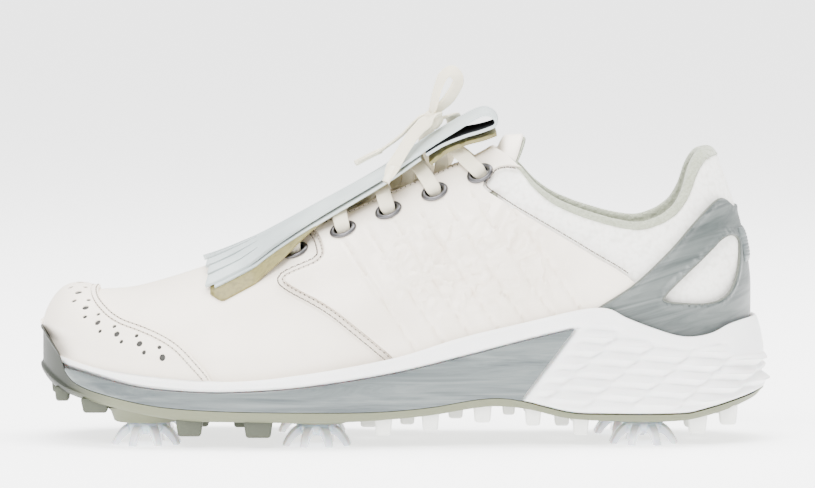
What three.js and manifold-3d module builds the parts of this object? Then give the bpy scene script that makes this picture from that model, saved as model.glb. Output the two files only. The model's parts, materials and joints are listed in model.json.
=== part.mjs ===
// A spiked golf shoe for the left foot, with a fringed kiltie over the laces.
// Millimetres. +X runs from toe to heel, -Y is the outer (lateral) side, +Z is up, and the spikes
// stand on z = 0.
import * as THREE from 'three';
import * as BufferGeometryUtils from 'three/addons/utils/BufferGeometryUtils.js';
import Module from 'manifold-3d';

const wasm = await Module();
wasm.setup();

// ---- Driving dimensions ----
const TOE = -144.8;             // foremost point of the leather upper
const HEEL = 143.5;             // rearmost point of the leather upper
const SOLE_TOE = -150;          // the sole reaches past the upper at both ends
const SOLE_HEEL = 150;
const GAP = 0.3;               // clearance between touching pieces
const PLY = 0.6;               // clearance between curved layers
const LEATHER = 1.3;           // thickness of one leather layer
const CAGE = 2.5;              // thickness of the moulded heel cage
const THROAT = -52;            // front end of the lacing opening
const STAY = 0.17;             // eyestay edge, as a fraction of the way down from the ridge
const EYELET_X = [-44, -23.8, -5.2, 13.7, 32.5];
const EYELET_FRACTION = 0.32;
const EYELET_RADIUS = 5.1;
const EYELET_BORE = 3.2;
const LACE_WIDTH = 6.5;
const LACE_THICKNESS = 1.3;
const CLEAT_RADIUS = 15;
const CLEAT_TOP = 9.2;
const CLEATS = [[-105, -27], [-103, 27], [-35, -33], [-38, 29], [99, -23], [94, 23]];
const HINGE = [9, 124];        // kiltie hinge line, x and z

// ---- Smooth profiles of the last and the sole, all as functions of x ----
function smooth(...knots) {
  // A smooth curve through [x, value] knots, flat beyond both ends.
  const last = knots.length - 1;
  const slopes = knots.map((knot, i) => {
    const before = knots[Math.max(i - 1, 0)];
    const after = knots[Math.min(i + 1, last)];
    return (after[1] - before[1]) / (after[0] - before[0]);
  });
  return (x) => {
    if (x <= knots[0][0]) return knots[0][1];
    if (x >= knots[last][0]) return knots[last][1];
    const i = knots.findIndex((knot) => knot[0] > x) - 1;
    const span = knots[i + 1][0] - knots[i][0];
    const t = (x - knots[i][0]) / span;
    const start = (1 + 2 * t) * (1 - t) ** 2 * knots[i][1] + t * (1 - t) ** 2 * span * slopes[i];
    return start + t * t * (3 - 2 * t) * knots[i + 1][1] - t * t * (1 - t) * span * slopes[i + 1];
  };
}

const step = (low, high, x) => THREE.MathUtils.smoothstep(x, low, high);
const centreY = smooth([-150, 7], [-100, 3], [-40, 0], [150, 0]);
const lateralWidth = smooth([-150, 50], [-95, 50], [-45, 51], [0, 45], [40, 39.5], [90, 36.5], [150, 35]);
const medialWidth = smooth([-150, 41], [-95, 46], [-65, 48], [-20, 40], [20, 34], [60, 32.5], [100, 34.5],
  [150, 34]);
const bedHeight = smooth([-150, 33], [-120, 25.5], [-76, 21.5], [-20, 23], [40, 29], [90, 34], [150, 35]);
const ridgeHeight = smooth([-145.5, 45], [-143.5, 51.5], [-139.5, 57.6], [-134, 60.8], [-125, 61.6], [-110, 63],
  [-83, 71], [-60, 80], [-38, 89.5], [-24, 95], [-5, 104], [14, 112.5], [32, 120.5], [44, 128],
  [70, 143], [100, 152], [150, 158]);
const topLine = smooth([34, 119.5], [39, 119.8], [45, 116], [50, 111], [55, 105], [61.5, 100], [70, 96],
  [80, 92.6], [89, 90.3], [96, 89.4], [103, 90.8], [110, 94.3], [116, 101], [119.5, 110], [124, 117],
  [131, 119], [140, 119]);

// Heights up the side of the sole: ground-side face, top of the outsole, top of the grey band, top edge.
const soleBottom = smooth([-150, 28], [-143, 23], [-136.8, 20.4], [-125, 17.5], [-92.5, 11.7], [-63, 10.9],
  [-20, 10.9], [10, 13], [35, 16.5], [50, 15.5], [68, 11.4], [90, 10.2], [115, 10.4], [130, 13.5],
  [144, 18], [150, 21]);
const outsoleTop = smooth([-150, 46.6], [-148.8, 46.6], [-144.5, 41.5], [-141, 37], [-138.5, 30.5],
  [-136, 27], [-133, 24.9], [-125, 22.1], [-102, 17.4], [-79, 15.6], [-46, 15], [-11, 14.9], [11, 16.5],
  [29, 19.3], [39, 20], [48, 18.9], [67, 14.2], [77, 13.3], [115, 13.3], [125, 15.3], [136, 18.2], [150, 22]);
const bandTop = smooth([-140, 32], [-130, 30], [-119, 27.4], [-108, 25.2], [-92, 23.8], [-72, 23.3],
  [-40, 25.5], [-4, 30.8], [24, 37.2], [50, 43.8], [72, 49]);
const soleTop = smooth([-150, 38], [-140, 35.5], [-119, 30.8], [-92, 28], [-76, 27.3], [-50, 29.2],
  [-4, 36.8], [24, 45], [50, 51], [70, 55.6], [78, 56.8], [85, 56.2], [91, 53], [103, 48.3], [113, 45.3],
  [120, 45], [127, 46.4], [134, 49.6], [143, 51.5], [150, 51.5]);

const roundEnd = (distance, length, power) =>
  (distance >= length ? 1 : (1 - (1 - Math.max(distance, 0) / length) ** power) ** (1 / power));

function outlineY(x, side, toe, heel, grow) {
  // Half outline in plan: rounded at the toe, rounder at the heel. side is -1 lateral, +1 medial.
  const width = (side < 0 ? lateralWidth(x) : medialWidth(x)) + grow;
  return centreY(x) + side * width * roundEnd(x - toe, 64, 2.25) * roundEnd(heel - x, 38, 2.2);
}

// ---- The last: x along the foot, t from 0 at the ridge to 1 at the sole ----
function lastPoint(x, side, t) {
  const angle = t * Math.PI / 2;
  const bulge = 1 - 0.05 * step(0.8, 1, t);
  const edge = outlineY(x, side, TOE, HEEL, 0) - centreY(x);
  const y = centreY(x) + edge * Math.sin(angle) ** THREE.MathUtils.lerp(1.2, 0.95, step(20, 80, x)) * bulge;
  const z = THREE.MathUtils.lerp(bedHeight(x), ridgeHeight(x), Math.cos(angle) ** squareness(x));
  const lean = 13.3 * (Math.max(z - 64, 0) / 53) ** 1.6 * step(75, 140, x);
  return new THREE.Vector3(x - lean, y, z);
}

const squareness = (x) => THREE.MathUtils.lerp(0.8, 1, step(-120, -60, x));

function fraction(x, z) {
  // How far down from the ridge the height z lies, at station x.
  const share = (z - bedHeight(x)) / (ridgeHeight(x) - bedHeight(x));
  return Math.acos(THREE.MathUtils.clamp(share, 0, 1) ** (1 / squareness(x))) / (Math.PI / 2);
}

function place(x, z) {
  // The last's own coordinates [station, t] of a spot seen from the side at x, z.
  const lean = 13.3 * (Math.max(z - 64, 0) / 53) ** 1.6;
  let station = x;
  for (let i = 0; i < 12; i += 1) station = Math.min(x + lean * step(75, 140, station), HEEL);
  return [station, fraction(station, z)];
}

function signedPoint(x, v) {
  return lastPoint(x, v < 0 ? -1 : 1, Math.abs(v));
}

function skin(x, v, offset) {
  // A point at a given distance outside the last. v runs from -1 (lateral sole edge) over the ridge to +1.
  const dx = 0.4;
  const dv = 0.012;
  const alongX = signedPoint(Math.min(x + dx, HEEL), v).sub(signedPoint(Math.max(x - dx, TOE), v));
  const high = Math.min(v + dv, 1);
  const low = Math.max(v - dv, -1);
  const alongV = signedPoint(x, high).sub(signedPoint(x, low));
  const normal = alongX.cross(alongV);
  if (x <= TOE) normal.y = 0;
  normal.normalize();
  return signedPoint(x, v).addScaledVector(normal, offset);
}


// ---- Solids ----
const solids = [];

function geometryOf(positions, indices) {
  const geometry = new THREE.BufferGeometry();
  geometry.setAttribute('position', new THREE.Float32BufferAttribute(positions.flatMap((p) => p.toArray()), 3));
  geometry.setIndex(indices);
  const merged = BufferGeometryUtils.mergeVertices(geometry, 1e-3);
  const index = merged.getIndex().array;
  const kept = [];
  for (let i = 0; i < index.length; i += 3) {
    const [a, b, c] = [index[i], index[i + 1], index[i + 2]];
    if (a !== b && b !== c && c !== a) kept.push(a, b, c);
  }
  merged.setIndex(kept);
  return merged;
}

function thickSheet(pointAt, across, rows, inner, outer, closed = '') {
  // A sheet of across x rows cells between two offset surfaces; pointAt takes u, v and an offset.
  // A 'ring' sheet closes on itself in u; a 'nose' sheet folds together at u = 0. Both need no wall there.
  const positions = [];
  const indices = [];
  const depth = (value, u, v) => (typeof value === 'function' ? value(u, v) : value);
  for (const layer of [outer, inner]) {
    for (let j = 0; j <= rows; j += 1) {
      for (let i = 0; i <= across; i += 1) {
        const u = i / across;
        const v = j / rows;
        positions.push(pointAt(u, v, depth(layer, u, v)));
      }
    }
  }
  const row = across + 1;
  const inside = row * (rows + 1);
  const quad = (a, b, c, d) => indices.push(a, b, c, a, c, d);
  for (let j = 0; j < rows; j += 1) {
    for (let i = 0; i < across; i += 1) {
      const a = j * row + i;
      quad(a, a + 1, a + row + 1, a + row);
      quad(inside + a, inside + a + row, inside + a + row + 1, inside + a + 1);
    }
    const left = j * row;
    const right = left + across;
    if (!closed) quad(left, left + row, inside + left + row, inside + left);
    if (closed !== 'ring') quad(right + row, right, inside + right, inside + right + row);
  }
  const top = rows * row;
  for (let i = 0; i < across; i += 1) {
    quad(i + 1, i, inside + i, inside + i + 1);
    quad(top + i, top + i + 1, inside + top + i + 1, inside + top + i);
  }
  return geometryOf(positions, indices);
}

function along(points, t) {
  // A point at the fraction t of the way along a polyline.
  const at = t * (points.length - 1);
  const i = Math.min(Math.floor(at), points.length - 2);
  return points[i].map((value, k) => THREE.MathUtils.lerp(value, points[i + 1][k], at - i));
}

function solid(geometry) {
  // The geometry as a manifold, turned the right way out.
  const plain = geometry.index ? geometry.clone() : BufferGeometryUtils.mergeVertices(geometry);
  plain.deleteAttribute('normal');
  plain.deleteAttribute('uv');
  const merged = BufferGeometryUtils.mergeVertices(plain, 1e-4);
  const triVerts = new Uint32Array(merged.index.array);
  const vertProperties = new Float32Array(merged.attributes.position.array);
  let volume = 0;
  const corner = (k) => new THREE.Vector3().fromArray(vertProperties, triVerts[k] * 3);
  for (let i = 0; i < triVerts.length; i += 3) volume += corner(i).dot(corner(i + 1).cross(corner(i + 2)));
  if (volume < 0) for (let i = 0; i < triVerts.length; i += 3) triVerts.subarray(i, i + 2).reverse();
  return new wasm.Manifold(new wasm.Mesh({ numProp: 3, vertProperties, triVerts }));
}

function geometryFrom(manifold) {
  const mesh = manifold.getMesh();
  const geometry = new THREE.BufferGeometry();
  geometry.setAttribute('position', new THREE.BufferAttribute(new Float32Array(mesh.vertProperties), 3));
  geometry.setIndex(new THREE.BufferAttribute(new Uint32Array(mesh.triVerts), 1));
  return geometry;
}

function mainBody(manifold) {
  // The largest connected body, without the slivers that a cut can leave.
  return manifold.decompose().sort((a, b) => b.volume() - a.volume())[0];
}

function add(name, shape, colour, roughness, metalness = 0) {
  const manifold = mainBody(shape.isBufferGeometry ? solid(shape) : shape);
  const material = new THREE.MeshStandardMaterial({ color: colour, roughness, metalness });
  const mesh = new THREE.Mesh(geometryFrom(manifold), material);
  mesh.name = name;
  solids.push(mesh);
  return manifold;
}

const spread = (from, to, count) => Array.from({ length: count + 1 }, (_, i) => from + (to - from) * i / count);
const drawnBack = (point, x, by) => point.setX(point.x + by * (1 - step(TOE, TOE + 25, x)));
const fromToe = (depth, u) => TOE + (depth - TOE) * (1 - Math.cos(u * Math.PI / 2));

// ---- Upper: leather panels ----
const LEATHER_COLOUR = 0xf0ece4;
const CAP_EDGE = [[-125.2, 63.1], [-125.7, 60.4], [-124, 57.6], [-119.4, 53.6], [-114.1, 50.7],
  [-105.8, 48.3], [-98.3, 45.6], [-91.7, 42.1], [-85.1, 36.5], [-79.1, 30.1], [-77.4, 27], [-77, 21]];
const capEdgeX = smooth(...CAP_EDGE.map(([x, z]) => [fraction(x, z), x]));
const QUARTER_FRONT = [[-37.9, 88], [-34, 84.5], [-31.9, 79.5], [-32.2, 76], [-36, 72.8], [-43, 70], [-47, 68],
  [-47.4, 66.4], [-42, 63.2], [-28.4, 56], [-17.6, 47.9], [-9.3, 41.4], [-4.3, 36.9], [2, 24]];
const QUARTER_REAR = [[36.5, 118.4], [33.5, 114], [32.5, 105.6], [40, 99.8], [48.2, 94.7], [63.1, 86.3],
  [79, 76.8], [94, 67.6], [91, 65.4], [82.5, 60], [75.6, 56], [73, 50], [72, 34]];

function rowEdge(points) {
  // An edge as a function of t, from [x, z] points listed downwards.
  const placed = points.map(([x, z]) => place(x, z));
  placed[0][1] = STAY;
  placed[placed.length - 1][1] = 1;
  return smooth(...placed.map(([x, t]) => [t, x]));
}
const quarterFrontX = rowEdge(QUARTER_FRONT);
const quarterRearX = rowEdge(QUARTER_REAR);

const toeCap = thickSheet((u, v, offset) => {
  const row = THREE.MathUtils.lerp(-0.97, 0.97, v);
  return skin(fromToe(capEdgeX(Math.abs(row)), u), row, offset);
}, 8, 18, PLY + 0.3, PLY + LEATHER, 'nose');

const puffEdge = (row) => capEdgeX(Math.abs(row)) - 6;
const toePuff = thickSheet((u, v, offset) => {
  const row = THREE.MathUtils.lerp(-0.96, 0.96, v);
  const x = fromToe(puffEdge(row), u);
  return drawnBack(skin(x, row, offset), x, 1);
}, 6, 12, -LEATHER - 2.2, -LEATHER - 1.2, 'nose');

function vampRearX(row) {
  const t = Math.abs(row);
  if (t < STAY) return THROAT;
  return Math.min(quarterFrontX(t) + 7, THROAT + (t - STAY) * 900);
}
const vampRows = [...spread(-1, -STAY, 9), -STAY + 0.01, 0, STAY - 0.01, ...spread(STAY, 1, 9)];
const vamp = thickSheet((u, v, offset) => {
  const row = vampRows[Math.round(v * (vampRows.length - 1))];
  return skin(fromToe(vampRearX(row), u), row, offset);
}, 10, vampRows.length - 1, -LEATHER, 0, 'nose');

const vampLining = thickSheet((u, v, offset) => {
  const row = THREE.MathUtils.lerp(-0.97, 0.97, v);
  const x = fromToe(THROAT - 1, u);
  return drawnBack(skin(x, row, offset), x, 3.6);
}, 7, 12, -6, -4.8, 'nose');

function quarter(side) {
  return thickSheet((u, v, offset) => {
    const t = THREE.MathUtils.lerp(STAY, 1, v);
    return skin(THREE.MathUtils.lerp(quarterFrontX(t), quarterRearX(t), u), side * t, offset);
  }, 8, 10, PLY, PLY + LEATHER);
}

// The layer under the quarter's rear edge, round the ankle opening.
const COLLAR_LOWER = [[38, 108], [42, 97], [50, 88], [62, 80.5], [80, 70], [90, 64], [104, 60]];
const TAB_FRONT = 112;
const RIM = [38, 42, 48, 54, 61, 69, 78, 88, 97, 105, 110, 113, 117, 120.5, 124, 127.5, 130.2];
const rimAt = smooth(...RIM.map((x) => place(x, topLine(x))));
const collarLowerAt = smooth(...COLLAR_LOWER.map(([x, z]) => place(x, z)));

function collarPanel(hand) {
  return thickSheet((u, v, offset) => {
    const station = THREE.MathUtils.lerp(41, TAB_FRONT - GAP, u);
    return skin(station, hand * THREE.MathUtils.lerp(collarLowerAt(station), rimAt(station), v), offset);
  }, 11, 4, -LEATHER, 0);
}

function wrap(front, footAt, topAt, across, rows, inner, outer) {
  // A panel round the heel from the station front on the lateral side to the same on the medial side.
  const at = (u, v) => {
    const turn = 2 * u - 1;
    const station = front + (HEEL - front) * Math.cos(turn * Math.PI / 2);
    return [station, Math.sign(turn), THREE.MathUtils.lerp(footAt(station), topAt(station), v)];
  };
  const depth = (value) => (typeof value === 'function' ? (u, v) => value(at(u, v)[0], at(u, v)[2]) : value);
  return thickSheet((u, v, offset) => {
    const [station, hand, t] = at(u, v);
    return skin(station, (hand || 1) * t, offset);
  }, across, rows, depth(inner), depth(outer));
}
const heelTab = wrap(TAB_FRONT, () => 0.9, rimAt, 16, 4, -LEATHER, 0);

// ---- Heel cage: a moulded band round the heel with a window on each side ----
const CAGE_TOP = [[78.8, 55.8], [94.2, 65.6], [108.3, 78.6], [117.4, 89.2], [125, 97.6], [128.5, 100],
  [133.2, 99.4]];
const CAGE_FOOT = [[77.6, 53], [90, 48], [100, 43], [112, 40], [124, 40], [134, 42], [140, 44]];
const WINDOW = [[109.6, 57.8], [108.8, 62.2], [118, 70.8], [130.6, 83], [135.4, 83.4], [136, 79], [134.5, 70],
  [131, 60], [127.5, 57.4], [118, 56]];
const cageTopAt = smooth(...CAGE_TOP.map(([x, z]) => place(x, z)));
const cageFootAt = smooth(...CAGE_FOOT.map(([x, z]) => place(x, z)));
const windowPlaces = WINDOW.map(([x, z]) => place(x, z));
function windowCutter(hand) {
  // A closed block through the cage wall, over the window's outline.
  const share = 1 / windowPlaces.length;
  const centre = windowPlaces.reduce((sum, [x, t]) => [sum[0] + x * share, sum[1] + t * share], [0, 0]);
  const ring = [...windowPlaces, windowPlaces[0]];
  return solid(thickSheet((u, v, offset) => {
    const [x, t] = along(ring, u);
    return skin(THREE.MathUtils.lerp(centre[0], x, v), hand * THREE.MathUtils.lerp(centre[1], t, v), offset);
  }, ring.length - 1, 1, -1, 6, 'ring'));
}
const heelCage = solid(wrap(78.8, cageFootAt, cageTopAt, 20, 4, PLY, CAGE))
  .subtract(windowCutter(-1)).subtract(windowCutter(1));
const cageSpace = solid(wrap(78, (x) => cageFootAt(x) + 0.03, (x) => cageTopAt(x) - 0.008, 20, 4,
  -0.5, CAGE + 1));
const heelPad = wrap(HEEL - 2.2, (x) => place(x, 74)[1], (x) => place(x, 88)[1], 6, 3, CAGE + GAP, CAGE + 1.5);

// ---- Inside: stiffener, foam and linings ----
const COUNTER_TOP = 66;
const FOAM_FOOT = 70;
const heelCounter = wrap(86, () => 0.95, (x) => fraction(x, COUNTER_TOP), 14, 2, -LEATHER - 1.5, -LEATHER - PLY);

function foamDepth(station, t) {
  // The padding swells below the collar's rim and thins out towards its lower edge.
  const low = fraction(station, FOAM_FOOT);
  const share = THREE.MathUtils.clamp((t - rimAt(station)) / (low - rimAt(station)), 0.04, 0.96);
  return 5 * Math.sin(Math.PI * share) ** 0.6 * step(56, 68, station);
}
const collarFoam = wrap(64, (x) => fraction(x, FOAM_FOOT), (x) => rimAt(x) + 0.015, 18, 4,
  (x, t) => -LEATHER - PLY - 0.4 - foamDepth(x, t), -LEATHER - PLY);

const liningDepth = (x, t) => {
  const padding = t < fraction(x, FOAM_FOOT) ? foamDepth(x, t) : 0;
  return -LEATHER - 2 * PLY - Math.max(padding + 1, 1.6 * step(50, 60, x));
};
const liningTop = (x) => (x < 38 ? STAY + 0.02 : Math.max(rimAt(x), STAY + 0.02) + 0.012);
const quarterLining = wrap(THROAT + 1, () => 0.96, liningTop, 24, 6,
  (x, t) => liningDepth(x, t) - 1, liningDepth);

const tongueAt = (u, v, offset) => {
  const x = THREE.MathUtils.lerp(THROAT + 1.2, 46, u);
  return skin(x, THREE.MathUtils.lerp(-0.38, 0.38, v), offset);
};
const tongue = thickSheet(tongueAt, 10, 6, -6.9, -5.6);
const tonguePadding = thickSheet((u, v, offset) => tongueAt(u * 0.97 + 0.015, v * 0.94 + 0.03, offset), 10, 6,
  (u, v) => -8.2 - 3 * Math.sin(Math.PI * u) ** 0.5 * Math.sin(Math.PI * v) ** 0.5, -7.4);

// ---- Sole ----
const stations = (toe, heel, count) => spread(0, Math.PI, count)
  .map((angle) => THREE.MathUtils.lerp(toe, heel, (1 - Math.cos(angle)) / 2));

function soleSolid(levels, count) {
  // A closed body through levels, bottom to top; a level has toe, heel, grow and height(x).
  const rings = levels.map((level) => stations(level.toe, level.heel, count).map((x) => [-1, 1].map((hand) =>
    new THREE.Vector3(x, outlineY(x, hand, level.toe, level.heel, level.grow), level.height(x)))));
  const positions = [];
  const indices = [];
  const quad = (a, b, c, d) => {
    const start = positions.length;
    positions.push(a, b, c, d);
    indices.push(start, start + 1, start + 2, start, start + 2, start + 3);
  };
  const top = rings[rings.length - 1];
  for (let i = 0; i < count; i += 1) {
    quad(rings[0][i][0], rings[0][i][1], rings[0][i + 1][1], rings[0][i + 1][0]);
    quad(top[i][0], top[i + 1][0], top[i + 1][1], top[i][1]);
    for (let k = 0; k + 1 < rings.length; k += 1) {
      const [low, high] = [rings[k], rings[k + 1]];
      quad(low[i][0], low[i + 1][0], high[i + 1][0], high[i][0]);
      quad(low[i + 1][1], low[i][1], high[i][1], high[i + 1][1]);
    }
  }
  return solid(geometryOf(positions, indices));
}
const level = (toe, heel, grow, height) => ({ toe, heel, grow, height });
const raised = (height, by) => (x) => height(x) + by;
const between = (a, b, share) => (x) => THREE.MathUtils.lerp(a(x), b(x), share);

function block(sizeX, sizeY, sizeZ, x, y, z) {
  return solid(new THREE.BoxGeometry(sizeX, sizeY, sizeZ).translate(x, y, z));
}
function disc(radius, low, high, x, y, sides = 12, lowRadius = radius) {
  const shape = new THREE.CylinderGeometry(radius, lowRadius, high - low, sides).rotateX(Math.PI / 2);
  return solid(shape.translate(x, y, (low + high) / 2));
}

const SOLE_CELLS = 26;
const SIDE_GROW = 4.6;            // the sole stands this far outside the upper
const BAND_DEPTH = 2;
const plateTop = (x) => Math.min(outsoleTop(x), soleBottom(x) + 5.2);
const cupCavity = soleSolid([
  level(TOE - 3.2, HEEL + 2, 2.6, raised(bedHeight, -GAP)),
  level(TOE - 3.2, HEEL + 2.9, 2.6, raised(bedHeight, 4)),
  level(TOE - 3.2, HEEL + 3.1, 2.6, raised(soleTop, 12)),
], SOLE_CELLS);

const outsoleShell = soleSolid([
  level(SOLE_TOE + 3, SOLE_HEEL - 4, 1, soleBottom),
  level(SOLE_TOE, SOLE_HEEL - 0.5, SIDE_GROW, raised(soleBottom, 2.5)),
  level(SOLE_TOE, SOLE_HEEL - 0.5, SIDE_GROW + 0.4, outsoleTop),
], SOLE_CELLS);
const outsoleInside = soleSolid([
  level(SOLE_TOE + 3, SOLE_HEEL + 6, SIDE_GROW + 6, plateTop),
  level(SOLE_TOE + 3, SOLE_HEEL + 6, SIDE_GROW + 6, raised(outsoleTop, 30)),
], SOLE_CELLS).subtract(block(26, 200, 200, SOLE_TOE - 0.5, 0, 100));
const bumperInside = soleSolid([
  level(SOLE_TOE + 2.1, SOLE_HEEL + 6, SIDE_GROW - 2, plateTop),
  level(SOLE_TOE + 2.1, SOLE_HEEL + 6, SIDE_GROW - 2, raised(outsoleTop, 30)),
], SOLE_CELLS);

// ---- Lugs: small studs under the edge of the sole and along its middle ----
const EDGE_LUGS = [[-139.7, 6.6], [-125.6, 12], [-86.7, 11.6], [-58.6, 12.4], [-7.7, 7.5], [11.4, 7.5],
  [32.7, 7.9], [53.4, 7], [72.9, 7], [120.7, 8.3], [133.5, 8]];
const MIDDLE_LUGS = [[-84, 9], [-66, 9], [-14, 8], [2, 7], [22, 7], [44, 6], [66, 7], [120, 8]];
const LUG_DEPTH = 6.4;
const LUG_TAPER = 0.56;
function lug(x, length, y, width) {
  const low = Math.max(soleBottom(x) - LUG_DEPTH, 4);
  const high = soleBottom(x) + 2;
  const shape = new THREE.CylinderGeometry(Math.SQRT1_2, LUG_TAPER, high - low, 4).rotateY(Math.PI / 4);
  return solid(shape.rotateX(Math.PI / 2).scale(length, width, 1).translate(x, y, (low + high) / 2));
}
const lugs = [];
for (const [x, length] of EDGE_LUGS) {
  for (const hand of [-1, 1]) {
    const y = outlineY(x, hand, SOLE_TOE, SOLE_HEEL, SIDE_GROW) - hand * 7.5;
    lugs.push(lug(x, length, y, 9));
  }
}
for (const [x, length] of MIDDLE_LUGS) lugs.push(lug(x, length, centreY(x), 12));
const toeLug = lug(-143, 5, centreY(-143), 14);
const bosses = CLEATS.map(([x, y]) => disc(15.5, CLEAT_TOP + GAP, soleBottom(x) + 2, x, y, 16, 13));
const RECEPTACLE_RADIUS = 9;
const receptacleTop = (x) => plateTop(x) - 1;
const pockets = CLEATS.map(([x, y]) => disc(RECEPTACLE_RADIUS + GAP, 5, receptacleTop(x) + GAP, x, y, 14));
let outsole = outsoleShell.subtract(outsoleInside).subtract(bumperInside).subtract(cupCavity);
for (const piece of [...lugs, toeLug, ...bosses]) outsole = outsole.add(piece);
for (const pocket of pockets) outsole = outsole.subtract(pocket);

// ---- Grey side band and white midsole ----
const bandEdgeX = (z) => 48.2 + (z - 18.8) * 0.76;
function bandRegion(inset, play) {
  // The side band's ring of space, up to its slanted rear end.
  const outer = soleSolid([
    level(SOLE_TOE - inset, SOLE_HEEL, SIDE_GROW + 0.4 + inset, raised(outsoleTop, GAP - play)),
    level(SOLE_TOE - inset, SOLE_HEEL, SIDE_GROW + inset, raised(bandTop, play - GAP)),
  ], SOLE_CELLS);
  const core = soleSolid([
    level(SOLE_TOE + 4, SOLE_HEEL, SIDE_GROW - BAND_DEPTH - play, raised(soleBottom, -5)),
    level(SOLE_TOE + 4, SOLE_HEEL, SIDE_GROW - BAND_DEPTH - play, raised(bandTop, 9)),
  ], SOLE_CELLS);
  const slant = new THREE.Shape([[-134 - play, 0], [bandEdgeX(0) + play, 0], [bandEdgeX(70) + play, 70],
    [-134 - play, 70]].map(([x, z]) => new THREE.Vector2(x, z)));
  const frame = new THREE.ExtrudeGeometry(slant, { depth: 160, bevelEnabled: false });
  return outer.subtract(core).intersect(solid(frame.rotateX(Math.PI / 2).translate(0, 80, 0)));
}
const half = (hand) => block(400, 100, 200, 0, hand * 50.01, 60);
const midsoleFoot = (x) => Math.max(outsoleTop(x) * step(-140, -125, x), plateTop(x) + 1);
const midsoleBody = soleSolid([
  level(SOLE_TOE + 3.2, SOLE_HEEL - 2, SIDE_GROW - 1, raised(plateTop, GAP)),
  level(SOLE_TOE + 3.2, SOLE_HEEL, SIDE_GROW + 0.4, midsoleFoot),
  level(SOLE_TOE + 3.2, SOLE_HEEL - 1.6, SIDE_GROW + 0.6, between(outsoleTop, soleTop, 0.5)),
  level(SOLE_TOE + 3.2, SOLE_HEEL - 3.4, SIDE_GROW + 0.2, raised(soleTop, -1.2)),
  level(SOLE_TOE + 3.6, SOLE_HEEL - 4, SIDE_GROW - 0.8, soleTop),
], SOLE_CELLS);

const bumperBack = (x) => outsoleTop(x - 1.8 * (1 - step(-130, -120, x))) + GAP;
const outsoleSpace = soleSolid([
  level(SOLE_TOE - 5, SOLE_HEEL + 5, SIDE_GROW + 6, raised(soleBottom, -8)),
  level(SOLE_TOE - 5, SOLE_HEEL + 5, SIDE_GROW + 6, bumperBack),
], SOLE_CELLS).subtract(soleSolid([
  level(SOLE_TOE + 3, SOLE_HEEL + 6, SIDE_GROW - 3, raised(plateTop, -1)),
  level(SOLE_TOE + 3, SOLE_HEEL + 6, SIDE_GROW - 3, raised(outsoleTop, 30)),
], SOLE_CELLS).intersect(block(26, 200, 200, SOLE_TOE + 10, 0, 60)));
const SHANK = { from: -8, to: 74, width: 20, thick: 1.4 };
function shankPlate(play) {
  const at = (u, v, offset) => {
    const x = THREE.MathUtils.lerp(SHANK.from - play, SHANK.to + play, u);
    const y = centreY(x) + (v - 0.5) * (SHANK.width + 2 * play);
    return new THREE.Vector3(x, y, bedHeight(x) - 2 * GAP + offset);
  };
  return solid(thickSheet(at, 8, 1, -SHANK.thick - play, play * 4));
}
const midsole = midsoleBody.subtract(outsoleSpace).subtract(cupCavity)
  .subtract(bandRegion(1, GAP + 0.1)).subtract(shankPlate(GAP));
const band = bandRegion(0, 0).subtract(outsoleSpace).subtract(cupCavity);

function footbed(low, high, inset) {
  return soleSolid([low, high].map((lift) =>
    level(TOE + inset + 2, HEEL - inset, -inset, raised(bedHeight, lift))), 22);
}
const strobelBoard = footbed(GAP, 1.7, 8.6);
const sockliner = footbed(2, 5.5, 9);

// ---- Receptacles and twist-lock spikes ----
const THREAD_RADIUS = 5.5;
function receptacle(x, y) {
  const high = receptacleTop(x);
  return disc(RECEPTACLE_RADIUS, CLEAT_TOP + 0.5, high, x, y, 14)
    .subtract(disc(THREAD_RADIUS + GAP, 0, CLEAT_TOP + 1.5, x, y, 10));
}
const LEGS = 8;
const LEG_WIDTH = 3.6;
function cleatLeg(angle) {
  // One leg: out from the hub, over and down to the ground.
  const profile = [[6, 8.4], [10.6, 7.4], [CLEAT_RADIUS, 0], [CLEAT_RADIUS - 2.6, 0], [9.8, 4], [6, 5.4]];
  const shape = new THREE.Shape(profile.map(([r, z]) => new THREE.Vector2(r, z)));
  const leg = new THREE.ExtrudeGeometry(shape, { depth: LEG_WIDTH, bevelEnabled: false });
  return solid(leg.translate(0, 0, -LEG_WIDTH / 2).rotateX(Math.PI / 2).rotateZ(angle));
}
function cleat(x, y) {
  const hub = disc(8.2, 5, CLEAT_TOP, 0, 0, 8);
  let body = hub.add(disc(THREAD_RADIUS, CLEAT_TOP - 1, CLEAT_TOP + 1.2, 0, 0, 8));
  for (let i = 0; i < LEGS; i += 1) body = body.add(cleatLeg((i + 0.5) * 2 * Math.PI / LEGS));
  return body.translate([x, y, 0]);
}

// ---- Eyelets ----
function frameAt(x, v) {
  // A transform that stands a piece on the last's surface, its +Z outwards and +X along the foot.
  const origin = skin(x, v, 0);
  const up = skin(x, v, 1).sub(origin).normalize();
  const forward = skin(x + 1, v, 0).sub(origin).projectOnPlane(up).normalize();
  return new THREE.Matrix4().makeBasis(forward, up.clone().cross(forward), up).setPosition(origin);
}
function eyelet(x, v) {
  const profile = [[EYELET_BORE, -2.6], [EYELET_BORE + 0.7, -2.6], [EYELET_BORE + 0.7, 2.2],
    [EYELET_RADIUS, 2.2], [EYELET_RADIUS - 0.6, 3.2], [EYELET_BORE, 3], [EYELET_BORE, -2.6]];
  const lathe = new THREE.LatheGeometry(profile.map(([r, h]) => new THREE.Vector2(r, h)), 10);
  return solid(lathe.rotateX(Math.PI / 2).applyMatrix4(frameAt(x, v)));
}
function eyeletHole(x, v) {
  const hole = new THREE.CylinderGeometry(EYELET_BORE + 1.2, EYELET_BORE + 1.2, 14, 8).rotateX(Math.PI / 2);
  return solid(hole.applyMatrix4(frameAt(x, v)));
}
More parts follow.
